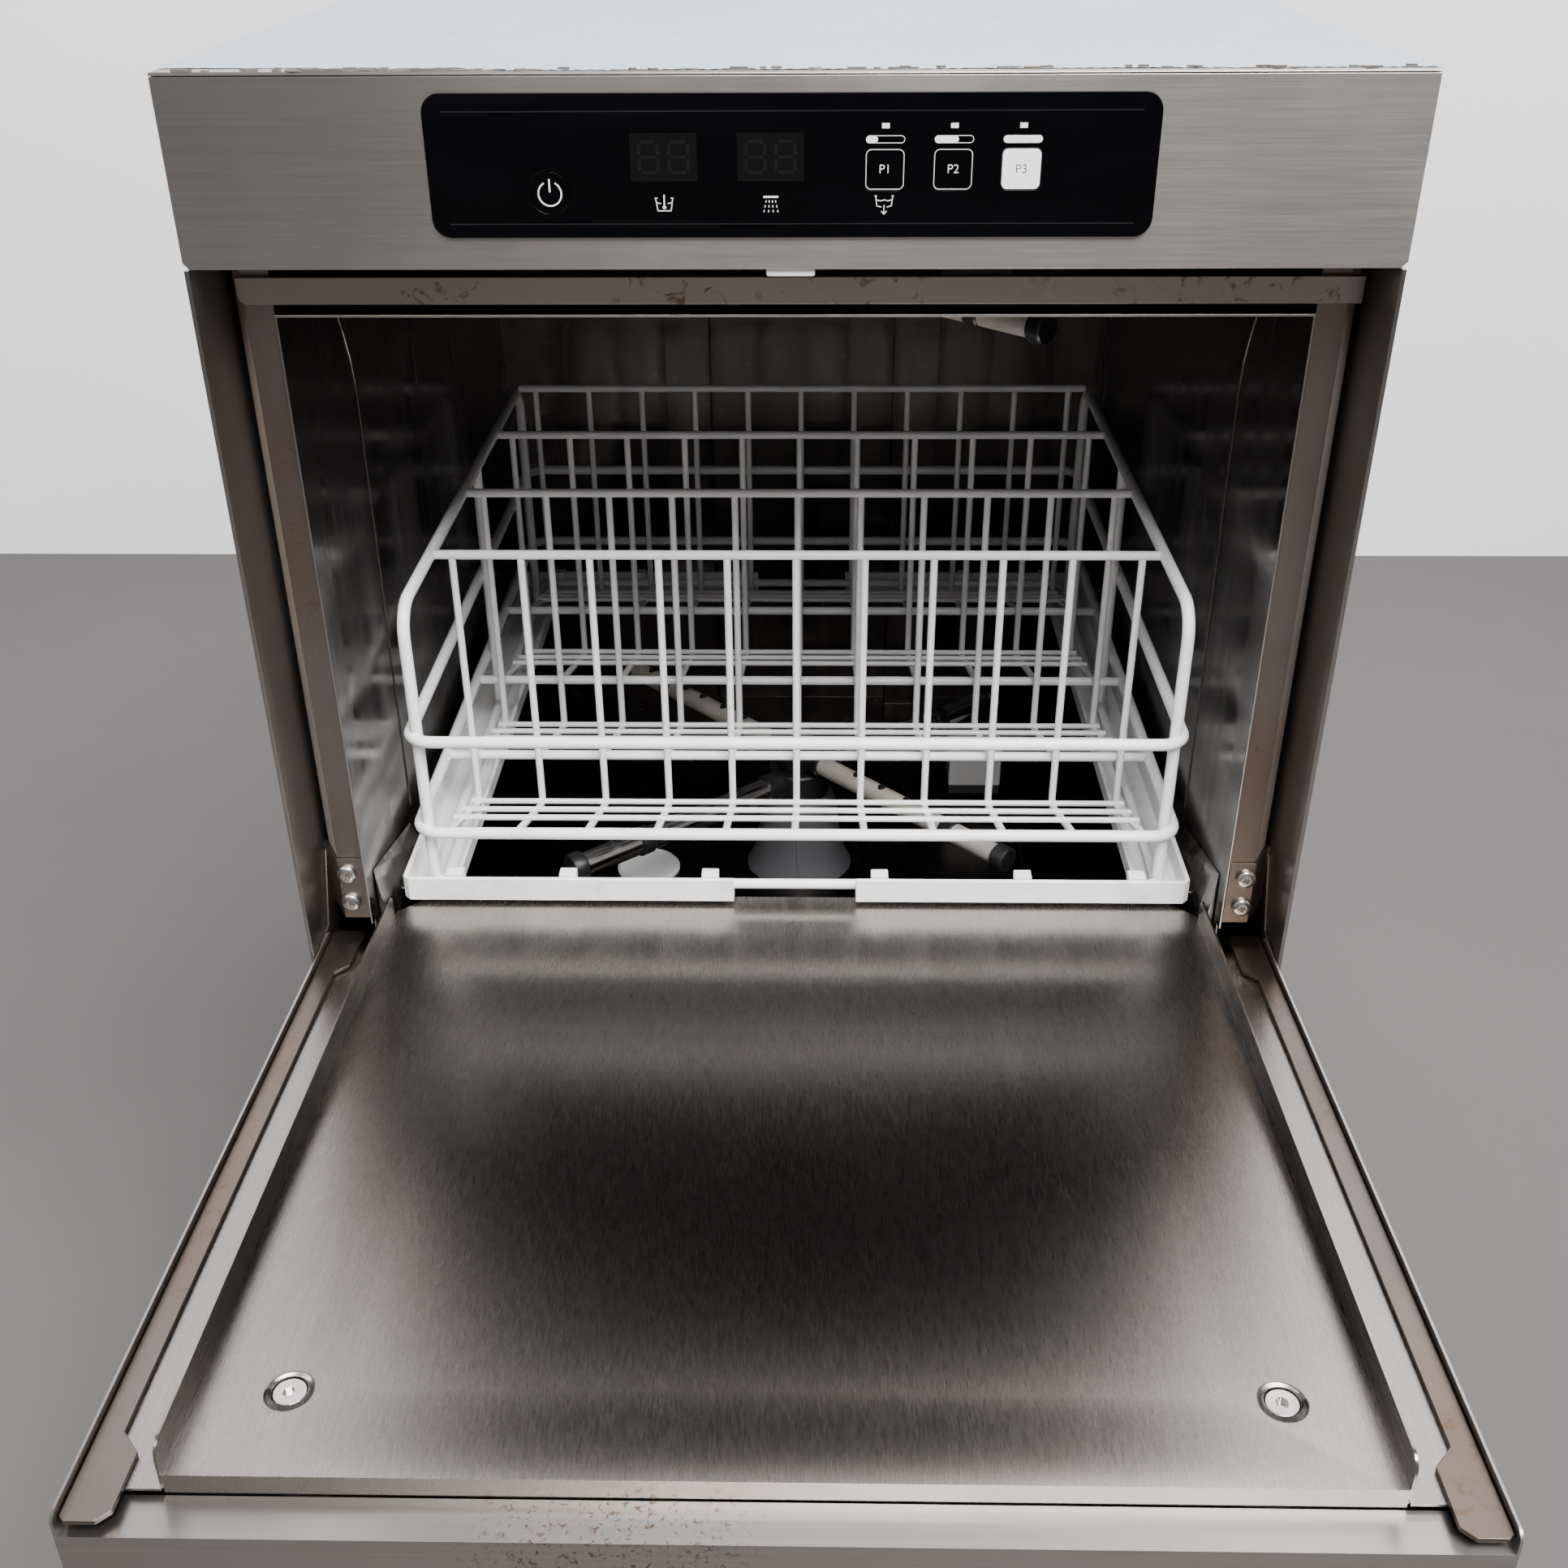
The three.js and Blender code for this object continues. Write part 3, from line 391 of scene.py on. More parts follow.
def bright_metal(name, color, roughness=0.16, grit=300.0):
    """Plated or drawn metal with rubbed patches."""
    finish = Finish(name, color, roughness, 1.0)
    rub = finish.noise(60.0, 4.0, rough=0.6)
    finish.color(finish.blend(finish.spread(rub, 0.4, 0.75, 0, 0.5), color, shade(color, 0.7)))
    finish.roughness(finish.spread(rub, 0.35, 0.75, roughness - 0.05, roughness + 0.14))
    finish.bump(finish.noise(grit, 2.0), 0.1, 0.0001)
    return finish


def printed(name, color, glow=0.0):
    """Screen-printed ink, a little uneven."""
    finish = Finish(name, color, 0.42)
    ink = finish.noise(900.0, 2.0)
    finish.color(finish.blend(finish.spread(ink, 0.4, 0.7, 0, 0.4), color, shade(color, 0.85)))
    if glow:
        finish.shader.inputs["Emission Color"].default_value = (*color, 1)
        finish.shader.inputs["Emission Strength"].default_value = glow
    return finish


def galvanised(name, color):
    """Zinc-coated sheet with its flaked pattern."""
    finish = Finish(name, color, 0.42, 0.85)
    flake = finish.put("ShaderNodeTexVoronoi", {"Vector": finish.place, "Scale": 90.0}).outputs["Distance"]
    finish.color(finish.blend(finish.spread(flake, 0.1, 0.7), shade(color, 1.15), shade(color, 0.8)))
    finish.roughness(finish.spread(flake, 0.1, 0.7, 0.34, 0.52))
    finish.bump(finish.noise(120.0, 3.0), 0.1, 0.0002)
    return finish


def stage_paint(name, color, scale):
    """Even paint or screed with a faint cloud in it."""
    finish = Finish(name, color, 0.75)
    cloud = finish.noise(scale, 5.0, rough=0.6)
    finish.color(finish.blend(finish.spread(cloud, 0.3, 0.75), shade(color, 1.04), shade(color, 0.94)))
    finish.bump(finish.noise(90.0, 3.0), 0.1, 0.0006)
    return finish


FINISHES = {}


def mix_finishes(context):
    """Every finish, by name."""
    colors = context.scene.washer_finishes
    steel = tuple(colors.steel)
    brown, dirt, dust = (0.27, 0.205, 0.16), (0.42, 0.41, 0.4), (0.08, 0.08, 0.08)

    def mix(maker, name, *values, **more):
        FINISHES[name] = maker(name, *values, **more).material

    mix(brushed_steel, "steel_across", steel, "X")
    mix(brushed_steel, "steel_upright", shade(steel, 0.92), "Z")
    mix(brushed_steel, "steel_stained", shade(steel, 0.85), "X", stains=0.85, tint=(0.33, 0.28, 0.235))
    mix(brushed_steel, "steel_tinted", shade(steel, 0.8), "Z", 0.34, stains=0.3, tint=brown, sheen=0.5)
    # Painted light: the columns' chamfered flanks are the same steel made 1.9 times lighter, to brighten them
    # where they stand in shade.
    mix(brushed_steel, "column_flank", shade(steel, 1.9), "Z", 0.5, stains=0.3, tint=(0.66, 0.54, 0.44),
        sheen=0.2)
    mix(brushed_steel, "steel_rusty", shade(steel, 1.02), "X", 0.3, stains=0.85, spot=460.0,
        patch=(-0.055, 0.06))
    # Painted shade: the door arms are the cabinet's steel at half its brightness.
    mix(brushed_steel, "steel_arm", shade(steel, 0.5), "Y", 0.36, stains=0.45, tint=shade(brown, 0.7),
        sheen=0.4)
    # Painted shade: the liner is the cabinet's steel made a little darker (0.88).
    mix(door_panel_steel, "door_panel", shade(steel, 0.88))
    mix(tank_steel, "tank", tuple(colors.tank))
    mix(tank_steel, "guide", (0.3, 0.285, 0.27), 0.26)
    mix(film_plastic, "film", tuple(colors.film))
    mix(coated_wire, "wire", tuple(context.scene.washer_rack.coating))
    mix(moulded, "white", (0.90, 0.89, 0.88), 0.4, dirt, 0.4)
    mix(moulded, "beige", (0.52, 0.475, 0.42), 0.45)
    mix(moulded, "grey", (0.10, 0.10, 0.108), 0.42, dust)
    mix(moulded, "black", (0.014, 0.014, 0.016), 0.36, (0.05, 0.05, 0.05), 0.5)
    mix(moulded, "residue", (0.10, 0.085, 0.075), 0.6, (0.3, 0.33, 0.36), 0.8)
    mix(moulded, "rubber", (0.02, 0.02, 0.02), 0.75, (0.08, 0.08, 0.07), 0.5)
    mix(moulded, "circuit", (0.02, 0.12, 0.06), 0.4, (0.2, 0.16, 0.06), 0.5, 250.0)
    mix(gloss_overlay, "overlay", (0.0012, 0.0012, 0.0016))
    mix(gloss_overlay, "ghost", (0.0085, 0.0075, 0.007))
    mix(gloss_overlay, "window", (0.0045, 0.0042, 0.0045))
    mix(gloss_overlay, "rule", (0.012, 0.012, 0.014))
    mix(printed, "ink", (0.78, 0.79, 0.8))
    mix(printed, "key_lit", (0.82, 0.84, 0.88), 0.12)
    mix(printed, "ink_dark", (0.03, 0.03, 0.035))
    mix(bright_metal, "chrome", (0.62, 0.61, 0.60))
    mix(bright_metal, "screw", (0.60, 0.58, 0.55), 0.24, grit=700.0)
    mix(galvanised, "zinc", (0.45, 0.46, 0.47))
    # Painted shadow: the chamber's colour turns dark below 211 mm, where it stands in shade.
    chamber = moulded("chamber", (0.62, 0.61, 0.60), 0.4, dirt, 0.4)
    FINISHES["chamber"] = painted_shadow_foot(chamber, 0.211).material


# ---------------------------------------------------------------- mesh making


def grain_map(mesh, grain):
    """A map whose first direction lies across the grain, for the stretched highlights."""
    layer = mesh.uv_layers.new(name="grain")
    for face in mesh.polygons:
        normal = face.normal
        main = max(range(3), key=lambda i: abs(normal[i]))
        lie = [i for i in range(3) if i != main]
        along = "XYZ".index(grain)
        first = next((i for i in lie if i != along), lie[0])
        second = next(i for i in lie if i != first)
        for corner in face.loop_indices:
            point = mesh.vertices[mesh.loops[corner].vertex_index].co
            layer.data[corner].uv = (point[first], point[second])


def make_piece(name, mesh, finish, body, replaced=(), edge=None, grain="X", smooth=35.0):
    """Puts a mesh in the scene as a finished piece that rides on a body."""
    mesh.name = name
    mesh.materials.clear()
    mesh.materials.append(FINISHES[finish])
    mesh.shade_smooth()
    mesh.set_sharp_from_angle(angle=math.radians(smooth))
    grain_map(mesh, grain)
    piece = bpy.data.objects.new(name, mesh)
    bpy.context.scene.collection.objects.link(piece)
    if edge:
        bevel = piece.modifiers.new("Edge", "BEVEL")
        bevel.width = edge
        bevel.segments = 2
        bevel.limit_method = "ANGLE"
        bevel.angle_limit = math.radians(40)
        bevel.harden_normals = True
    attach(piece, body)
    if replaced:
        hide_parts(*replaced)
    return piece


def mesh_of(form):
    form.normal_update()
    mesh = bpy.data.meshes.new("form")
    form.to_mesh(mesh)
    form.free()
    return mesh


def turned_piece(name, form, finish, body, replaced=()):
    """A piece made from a closed form, with its faces turned outwards."""
    return make_piece(name, mesh_of(outward(form)), finish, body, replaced)


def refined(node, finish, body, edge=0.0003, grain="X"):
    """The solid's own shape with merged faces and rounded edges."""
    form = bmesh.new()
    form.from_mesh(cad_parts[node].data)
    bmesh.ops.remove_doubles(form, verts=form.verts, dist=2e-6)
    bmesh.ops.dissolve_limit(form, angle_limit=math.radians(0.6), verts=form.verts, edges=form.edges)
    return make_piece(node + "_finished", mesh_of(form), finish, body, (node,), edge, grain)


def recoloured(piece, finish, chosen):
    """Gives the faces for which chosen(face) holds a second finish."""
    mesh = piece.data
    mesh.materials.append(FINISHES[finish])
    for face in mesh.polygons:
        if chosen(face):
            face.material_index = len(mesh.materials) - 1


def add_lathe(form, profile, origin, direction, sides=40, closed=False):
    """A turned form; profile is (radius, distance along the axis) in millimetres."""
    turn = Vector(direction).to_track_quat("Z", "Y").to_matrix().to_4x4()
    place = Matrix.Translation(origin) @ turn
    rings = []
    for radius, along in profile:
        if radius < 1e-6:
            rings.append([form.verts.new(place @ Vector((0, 0, along * MM)))])
            continue
        ring = []
        for i in range(sides):
            angle = 2 * math.pi * i / sides
            point = Vector((radius * math.cos(angle), radius * math.sin(angle), along)) * MM
            ring.append(form.verts.new(place @ point))
        rings.append(ring)
    pairs = list(zip(rings, rings[1:]))
    if closed:
        pairs.append((rings[-1], rings[0]))
    for low, high in pairs:
        for i in range(sides):
            j = (i + 1) % sides
            if len(low) == 1 and len(high) == 1:
                continue
            if len(low) == 1:
                form.faces.new((low[0], high[j], high[i]))
            elif len(high) == 1:
                form.faces.new((low[i], low[j], high[0]))
            else:
                form.faces.new((low[i], low[j], high[j], high[i]))


def add_rod(form, start, end, radius, sides=28, rounding=0.0):
    """A round bar between two scene points, with eased ends."""
    length = (end - start).length / MM
    ease = rounding or radius * 0.12
    profile = [(0, 0), (radius - ease, 0), (radius, ease), (radius, length - ease),
               (radius - ease, length), (0, length)]
    add_lathe(form, profile, start, end - start, sides)


def add_prism(form, outline, place, depth):
    """A flat outline (two-dimensional points), drawn out by depth; place maps (a, b, c) to the scene."""
    low = [form.verts.new(place(a, b, 0.0)) for a, b in outline]
    high = [form.verts.new(place(a, b, depth)) for a, b in outline]
    form.faces.new(low)
    form.faces.new(list(reversed(high)))
    count = len(outline)
    for i in range(count):
        j = (i + 1) % count
        form.faces.new((low[j], low[i], high[i], high[j]))


def outward(form):
    bmesh.ops.recalc_face_normals(form, faces=form.faces)
    return form


def rounded(x0, z0, x1, z1, radius, steps=6):
    """A rounded rectangle, counter-clockwise."""
    corners = [(x1 - radius, z0 + radius, -90), (x1 - radius, z1 - radius, 0),
               (x0 + radius, z1 - radius, 90), (x0 + radius, z0 + radius, 180)]
    points = []
    for cx, cz, start in corners:
        for i in range(steps + 1):
            angle = math.radians(start + 90 * i / steps)
            points.append((cx + radius * math.cos(angle), cz + radius * math.sin(angle)))
    return points


# ---------------------------------------------------------------- node trees for wires and repeats


def open_tree(name, inputs):
    """A tree with geometry in and out and named inputs; also their identifiers and their values."""
    tree = bpy.data.node_groups.new(name, "GeometryNodeTree")
    face = tree.interface
    for way in ("INPUT", "OUTPUT"):
        face.new_socket("Geometry", in_out=way, socket_type="NodeSocketGeometry")
    sockets = {
        label: face.new_socket(label, in_out="INPUT", socket_type=f"NodeSocket{kind}").identifier
        for label, kind in inputs.items()
    }
    return tree, sockets, tree.nodes.new("NodeGroupInput").outputs


def close_tree(tree, shape, finish):
    whole = put_node(tree, "GeometryNodeRealizeInstances", {0: shape}).outputs[0]
    paint = put_node(tree, "GeometryNodeSetMaterial", {"Geometry": whole, "Material": finish})
    put_node(tree, "NodeGroupOutput", {0: paint.outputs[0]})


def row_tree():
    """Repeats the incoming mesh along x, then turns its edges into round wire."""
    inputs = {"Count": "Int", "Pitch": "Float", "Radius": "Float", "Bend": "Float", "Sides": "Int",
              "Finish": "Material"}
    tree, sockets, given = open_tree("Wire row", inputs)

    def put(kind, values, **settings):
        return put_node(tree, kind, values, **settings).outputs[0]

    less = put("ShaderNodeMath", {0: given["Count"], 1: 1.0}, operation="SUBTRACT")
    half = put("ShaderNodeMath", {0: less, 1: -0.5}, operation="MULTIPLY")
    first = put("ShaderNodeMath", {0: half, 1: given["Pitch"]}, operation="MULTIPLY")
    origin = put("ShaderNodeCombineXYZ", {0: first})
    step = put("ShaderNodeCombineXYZ", {0: given["Pitch"]})
    spots = {"Count": given["Count"], "Start Location": origin, "Offset": step}
    line = put("GeometryNodeMeshLine", spots, mode="OFFSET")
    copies = put("GeometryNodeInstanceOnPoints", {"Points": line, "Instance": given["Geometry"]})
    row = put("GeometryNodeRealizeInstances", {0: copies})
    curve = put("GeometryNodeMeshToCurve", {"Mesh": row})
    corner = {"Curve": curve, "Count": 6, "Limit Radius": True, "Radius": given["Bend"]}
    path = put("GeometryNodeFilletCurve", corner, mode="POLY")
    ring = put("GeometryNodeCurvePrimitiveCircle", {"Resolution": given["Sides"], "Radius": given["Radius"]})
    tube = put("GeometryNodeCurveToMesh", {"Curve": path, "Profile Curve": ring, "Fill Caps": True})
    close_tree(tree, tube, given["Finish"])
    return tree, sockets


def repeat_tree():
    """Repeats the incoming mesh along a line of equal steps."""
    tree, sockets, given = open_tree("Repeat", {"Count": "Int", "Step": "Vector", "Finish": "Material"})
    spots = {"Count": given["Count"], "Offset": given["Step"]}
    line = put_node(tree, "GeometryNodeMeshLine", spots, mode="OFFSET").outputs[0]
    shape = {"Points": line, "Instance": given["Geometry"]}
    copies = put_node(tree, "GeometryNodeInstanceOnPoints", shape).outputs[0]
    close_tree(tree, copies, given["Finish"])
    return tree, sockets


TREES = {}


def grow(mesh, tree_name, values):
    """The mesh that a node tree makes of a source mesh."""
    if tree_name not in TREES:
        TREES[tree_name] = row_tree() if tree_name == "row" else repeat_tree()
    tree, sockets = TREES[tree_name]
    source = bpy.data.objects.new("source", mesh)
    bpy.context.scene.collection.objects.link(source)
    modifier = source.modifiers.new("Grow", "NODES")
    modifier.node_group = tree
    for name, value in values.items():
        modifier[sockets[name]] = value
    bpy.context.view_layer.update()
    shape = source.evaluated_get(bpy.context.evaluated_depsgraph_get())
    made = bpy.data.meshes.new_from_object(shape)
    bpy.data.objects.remove(source)
    if not made.polygons:
        raise RuntimeError(f"the {tree_name} tree made nothing")
    return made


def path_mesh(paths, closed=False):
    """Edges along paths of machine points, as the source of wires."""
    form = bmesh.new()
    for path in paths:
        points = [form.verts.new(at(*point)) for point in path]
        for first, second in zip(points, points[1:]):
            form.edges.new((first, second))
        if closed:
            form.edges.new((points[-1], points[0]))
    mesh = bpy.data.meshes.new("path")
    form.to_mesh(mesh)
    form.free()
    return mesh


def wires(paths, radius, bend, count=1, pitch=0.0, closed=False, sides=14, finish="wire"):
    """Round wires along the paths, repeated count times along x."""
    values = {"Count": count, "Pitch": pitch, "Radius": radius, "Bend": bend, "Sides": sides,
              "Finish": FINISHES[finish]}
    return grow(path_mesh(paths, closed), "row", values)


def repeated(mesh, count, step, finish):
    return grow(mesh, "repeat", {"Count": count, "Step": step, "Finish": FINISHES[finish]})


def together(meshes):
    """Several meshes as one."""
    form = bmesh.new()
    for mesh in meshes:
        form.from_mesh(mesh)
    return mesh_of(form)


# ---------------------------------------------------------------- cabinet


FILM_HALF, FILM_BACK = 234.2, 533.4


def film_mesh():
    """The film's sheet: a torn front edge, bare steel at the left end of the front fold."""
    rng = random.Random(41)
    columns, rows = 360, 40
    form = bmesh.new()
    jag, tear = 0.0, []
    for i in range(columns + 1):
        jag = 0.72 * jag + rng.uniform(-0.55, 0.55)
        tear.append(jag + (rng.uniform(0.5, 2.2) if rng.random() < 0.05 else 0.0))
    grid = []
    for i in range(columns + 1):
        x = -FILM_HALF + 2 * FILM_HALF * i / columns
        bare = 9.0 if x < -176 else max(0.0, 9.0 - (x + 176) * 0.55)
        front = 1.9 + tear[i] * (0.3 if x > -60 else 0.9) + bare
        line = []
        for k in range(rows + 1):
            y = front + (FILM_BACK - front) * (k / rows) ** 1.6
            lift = 0.12 + 0.05 * math.sin(0.11 * x + 0.07 * y) + 0.03 * math.sin(0.31 * y - 0.05 * x)
            if k == 0:
                lift += 0.22 * abs(math.sin(0.9 * i)) if bare < 5 else 0.05
            line.append(form.verts.new(at(x, y, TOP + lift)))
        grid.append(line)
    for i in range(columns):
        for k in range(rows):
            form.faces.new((grid[i][k], grid[i + 1][k], grid[i + 1][k + 1], grid[i][k + 1]))
    return mesh_of(form)


def residue_mesh():
    """Flakes of torn film and old glue along the front edge of the top."""
    rng = random.Random(7)
    form = bmesh.new()
    places = [rng.gauss(-148, 20) for _ in range(60)] + [rng.uniform(-225, 228) for _ in range(60)]
    for x in places:
        x = max(-230, min(230, x))
        y = rng.uniform(1.2, 4.6)
        length, depth = rng.uniform(1.2, 5.5), rng.uniform(0.35, 1.3)
        outline = []
        for i in range(7):
            angle = 2 * math.pi * i / 7
            reach = rng.uniform(0.55, 1.0)
            outline.append((x + length * reach * math.cos(angle), y + depth * reach * math.sin(angle)))
        add_prism(form, outline, lambda a, b, c: at(a, b, TOP + 0.02 + c), rng.uniform(0.3, 1.1))
    return mesh_of(outward(form))


class WASHER_OT_cabinet(bpy.types.Operator):
    """Top, sides, back, base and lower front"""

    bl_idname = "washer.cabinet"
    bl_label = "Cabinet"

    def execute(self, context):
        edge = context.scene.washer_finishes.edge
        refined("top_panel", "steel_across", "cabinet", edge)
        film = make_piece("top_film", film_mesh(), "film", "cabinet")
        shell = film.modifiers.new("Thickness", "SOLIDIFY")
        shell.thickness = 0.00008
        shell.offset = 1
        make_piece("film_residue", residue_mesh(), "residue", "cabinet")
        for side in ("left", "right"):
            refined(f"side_panel_{side}", "steel_upright", "cabinet", 0.00025, "Z")
        refined("back_panel", "zinc", "cabinet", 0.0002)
        refined("base_tray", "zinc", "cabinet", 0.0002)
        refined("lower_front_panel", "steel_across", "cabinet", 0.00025)
        for end in ("front_left", "front_right", "rear_left", "rear_right"):
            low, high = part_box(f"foot_{end}")
            middle = Vector(((low.x + high.x) / 2, (low.y + high.y) / 2, low.z))
            form = bmesh.new()
            add_lathe(
                form,
                [(0, 0), (17, 0), (19, 1.5), (19, 5), (17.5, 8), (14, 12), (14, 23), (12.5, 24.6),
                 (5, 24.6), (5, 44), (0, 44)],
                middle, (0, 0, 1),
            )
            turned_piece(f"foot_{end}_turned", form, "rubber", "cabinet", (f"foot_{end}",))
        return {"FINISHED"}


# ---------------------------------------------------------------- controls

FACE = -1.3
INK = 0.06
PROGRAM_KEYS = (35, 60.3, 85.6)
POWER_X = -90.5
WINDOWS = (-47.3, -7.5)
TUB_X, SHOWER_X = -47.6, -7.5
# Half of the drain sign, as strokes: from, to, width.
DRAIN_SIGN = (
    ((3.6, 656.6), (2.7, 656.6), 0.3), ((3.2, 656.6), (2.7, 653.0), 0.3), ((2.7, 653.0), (1.0, 652.6), 0.3),
    ((1.0, 651.1), (0, 650.0), 0.3), ((2.8, 655.2), (1.4, 654.8), 0.28), ((1.4, 654.8), (0, 655.2), 0.28),
)


def add_mark(form, outline, lift=0.02, thick=INK):
    add_prism(form, outline, lambda a, b, c: at(a, FACE - lift - c, b), thick)


def add_ring(form, outer, inner, lift=0.02, thick=INK):
    """A frame between two outlines of equal point counts."""
    count = len(outer)
    layers = []
    for points in (outer, inner):
        for depth in (lift, lift + thick):
            layers.append([form.verts.new(at(a, FACE - depth, b)) for a, b in points])
    outer_low, outer_high, inner_low, inner_high = layers
    for i in range(count):
        j = (i + 1) % count
        form.faces.new((outer_high[i], outer_high[j], inner_high[j], inner_high[i]))
        form.faces.new((outer_low[j], outer_low[i], inner_low[i], inner_low[j]))
        form.faces.new((outer_low[i], outer_low[j], outer_high[j], outer_high[i]))
        form.faces.new((inner_low[j], inner_low[i], inner_high[i], inner_high[j]))


def box_outline(x0, z0, x1, z1):
    return [(x0, z0), (x1, z0), (x1, z1), (x0, z1)]


def add_stroke(form, start, end, width):
    """A straight printed line."""
    direction = Vector((end[0] - start[0], end[1] - start[1])).normalized() * width / 2
    across = Vector((-direction.y, direction.x))
    add_mark(form, [
        (start[0] - across.x, start[1] - across.y), (end[0] - across.x, end[1] - across.y),
        (end[0] + across.x, end[1] + across.y), (start[0] + across.x, start[1] + across.y),
    ])


def add_arc(form, cx, cz, radius, width, start, end, steps=28):
    """A printed arc, from start to end degrees."""
    inner, outer = radius - width / 2, radius + width / 2
    points = []
    for reach, span in ((outer, range(steps + 1)), (inner, range(steps, -1, -1))):
        for i in span:
            angle = math.radians(start + (end - start) * i / steps)
            points.append((cx + reach * math.cos(angle), cz + reach * math.sin(angle)))
    for i in range(steps):
        add_mark(form, [points[i], points[i + 1], points[2 * steps - i], points[2 * steps + 1 - i]])


def add_text(form, text, x, z, height, lift=0.02):
    """Printed letters, centred on (x, z)."""
    curve = bpy.data.curves.new("letters", "FONT")
    curve.body = text
    curve.size = height * 1.38
    curve.align_x = "CENTER"
    curve.align_y = "CENTER"
    curve.extrude = INK / 2
    curve.offset = -0.02 * height
    letters = bpy.data.objects.new("letters", curve)
    bpy.context.scene.collection.objects.link(letters)
    bpy.context.view_layer.update()
    mesh = bpy.data.meshes.new_from_object(letters.evaluated_get(bpy.context.evaluated_depsgraph_get()))
    bpy.data.objects.remove(letters)
    mesh.transform(Matrix.Rotation(math.radians(90), 4, "X"))
    mesh.transform(Matrix.Scale(MM, 4))
    mesh.transform(Matrix.Translation(at(x, FACE - lift - INK / 2, z)))
    form.from_mesh(mesh)


def add_tub(form, x, z):
    """A tank seen from the front: two sides, a floor and a water line."""
    for side in (-1, 1):
        add_stroke(form, (x + side * 3.2, z + 2.2), (x + side * 2.5, z - 2.4), 0.32)
        add_stroke(form, (x + side * 3.5, z + 2.2), (x + side * 2.5, z + 2.2), 0.32)
        add_stroke(form, (x + side * 2.9, z + 0.6), (x + side * 1.3, z + 0.2), 0.28)
    add_stroke(form, (x - 2.6, z - 2.4), (x + 2.6, z - 2.4), 0.32)


def panel_print():
    """White print on the overlay: bars, lamps and picture signs."""
    form = bmesh.new()
    for x, share in zip(PROGRAM_KEYS, (0.3, 0.62, 1.0)):
        add_mark(form, box_outline(x - 1.4, 680.4, x + 1.4, 682.2))
        outer = rounded(x - 7.2, 675.2, x + 7.2, 677.9, 1.34)
        inner = rounded(x - 7.0, 675.4, x + 7.0, 677.7, 1.14)
        add_ring(form, outer, inner)
        end = x - 7.0 + 14.0 * share
        add_mark(form, rounded(x - 7.0, 675.4, end, 677.7, 1.14))
    add_tub(form, TUB_X, 653.8)
    add_stroke(form, (TUB_X, 657.2), (TUB_X, 653.0), 0.5)
    add_arc(form, TUB_X, 652.7, 0.4, 0.6, 0, 359)
    add_mark(form, box_outline(-10.3, 656.0, -4.7, 656.7))
    for row, spread in enumerate((1.15, 1.4, 1.65)):
        for i in range(4):
            x = SHOWER_X + (i - 1.5) * spread
            z = 654.7 - 1.75 * row
            add_stroke(form, (x, z + 0.4), (x + (i - 1.5) * 0.12, z - 0.4), 0.34)
    drain_x = PROGRAM_KEYS[0]
    for side in (-1, 1):
        for (x0, z0), (x1, z1), width in DRAIN_SIGN:
            add_stroke(form, (drain_x + side * x0, z0), (drain_x + side * x1, z1), width)
    add_stroke(form, (drain_x, 653.4), (drain_x, 650.2), 0.3)
    return form


def ghost_digits():
    """Unlit seven-segment figures behind the two windows."""
    form = bmesh.new()
    for centre in WINDOWS:
        for x in (centre - 5.6, centre + 5.6):
            for dz in (-5.4, 0, 5.4):
                add_mark(form, box_outline(x - 2.7, 670.5 + dz - 0.6, x + 2.7, 670.5 + dz + 0.6), 0.01, 0.02)
            for dx in (-3.5, 3.5):
                for dz in (-2.7, 2.7):
                    low = 670.5 + dz - 1.9
                    add_mark(form, box_outline(x + dx - 0.6, low, x + dx + 0.6, low + 3.8), 0.01, 0.02)
    return form


class WASHER_OT_controls(bpy.types.Operator):
    """Fascia, overlay, keys and their print"""

    bl_idname = "washer.controls"
    bl_label = "Controls"

    def execute(self, context):
        edge = context.scene.washer_finishes.edge
        refined("front_fascia", "steel_across", "cabinet", edge)
        refined("control_overlay", "overlay", "cabinet", 0.00025)
        refined("control_board", "circuit", "cabinet", 0.0001)
        refined("door_catch", "white", "cabinet", 0.0004)
        refined("door_switch", "black", "cabinet", 0.0003)
        for name in ("display_wash", "display_rinse"):
            refined(name, "black", "cabinet", 0.0002)
        turned_piece("panel_print", panel_print(), "ink", "cabinet")
        windows = bmesh.new()
        for x in WINDOWS:
            add_mark(windows, box_outline(x - 12.4, 662.0, x + 12.4, 679.0), 0.001, 0.004)
        turned_piece("display_windows", windows, "window", "cabinet")
        turned_piece("window_ghosts", ghost_digits(), "ghost", "cabinet")
        rules = bmesh.new()
        for z in (646.6, 686.5):
            add_mark(rules, box_outline(-129, z - 0.22, 129, z + 0.22), 0.005, 0.03)
        turned_piece("overlay_rules", rules, "rule", "cabinet")
        for i, x in enumerate(PROGRAM_KEYS):
            key = f"key_program_{i + 1}"
            lit = i == 2
            refined(key, "key_lit" if lit else "overlay", key, 0.0001)
            form = bmesh.new()
            if not lit:
                outer = rounded(x - 7.1, 658.9, x + 7.1, 673.1, 2.0)
                add_ring(form, outer, rounded(x - 6.88, 659.12, x + 6.88, 672.88, 1.8))
            add_text(form, f"P{i + 1}", x, 666, 3.3)
            make_piece(f"{key}_print", mesh_of(form), "ink_dark" if lit else "ink", key)
        refined("key_power", "overlay", "key_power", 0.0001)
        power = bmesh.new()
        add_arc(power, POWER_X, 657.6, 4.35, 0.55, 118, 422)
        add_stroke(power, (POWER_X, 658.2), (POWER_X, 662.9), 0.6)
        turned_piece("key_power_print", power, "ink", "key_power")
        return {"FINISHED"}


# ---------------------------------------------------------------- tank and doorway


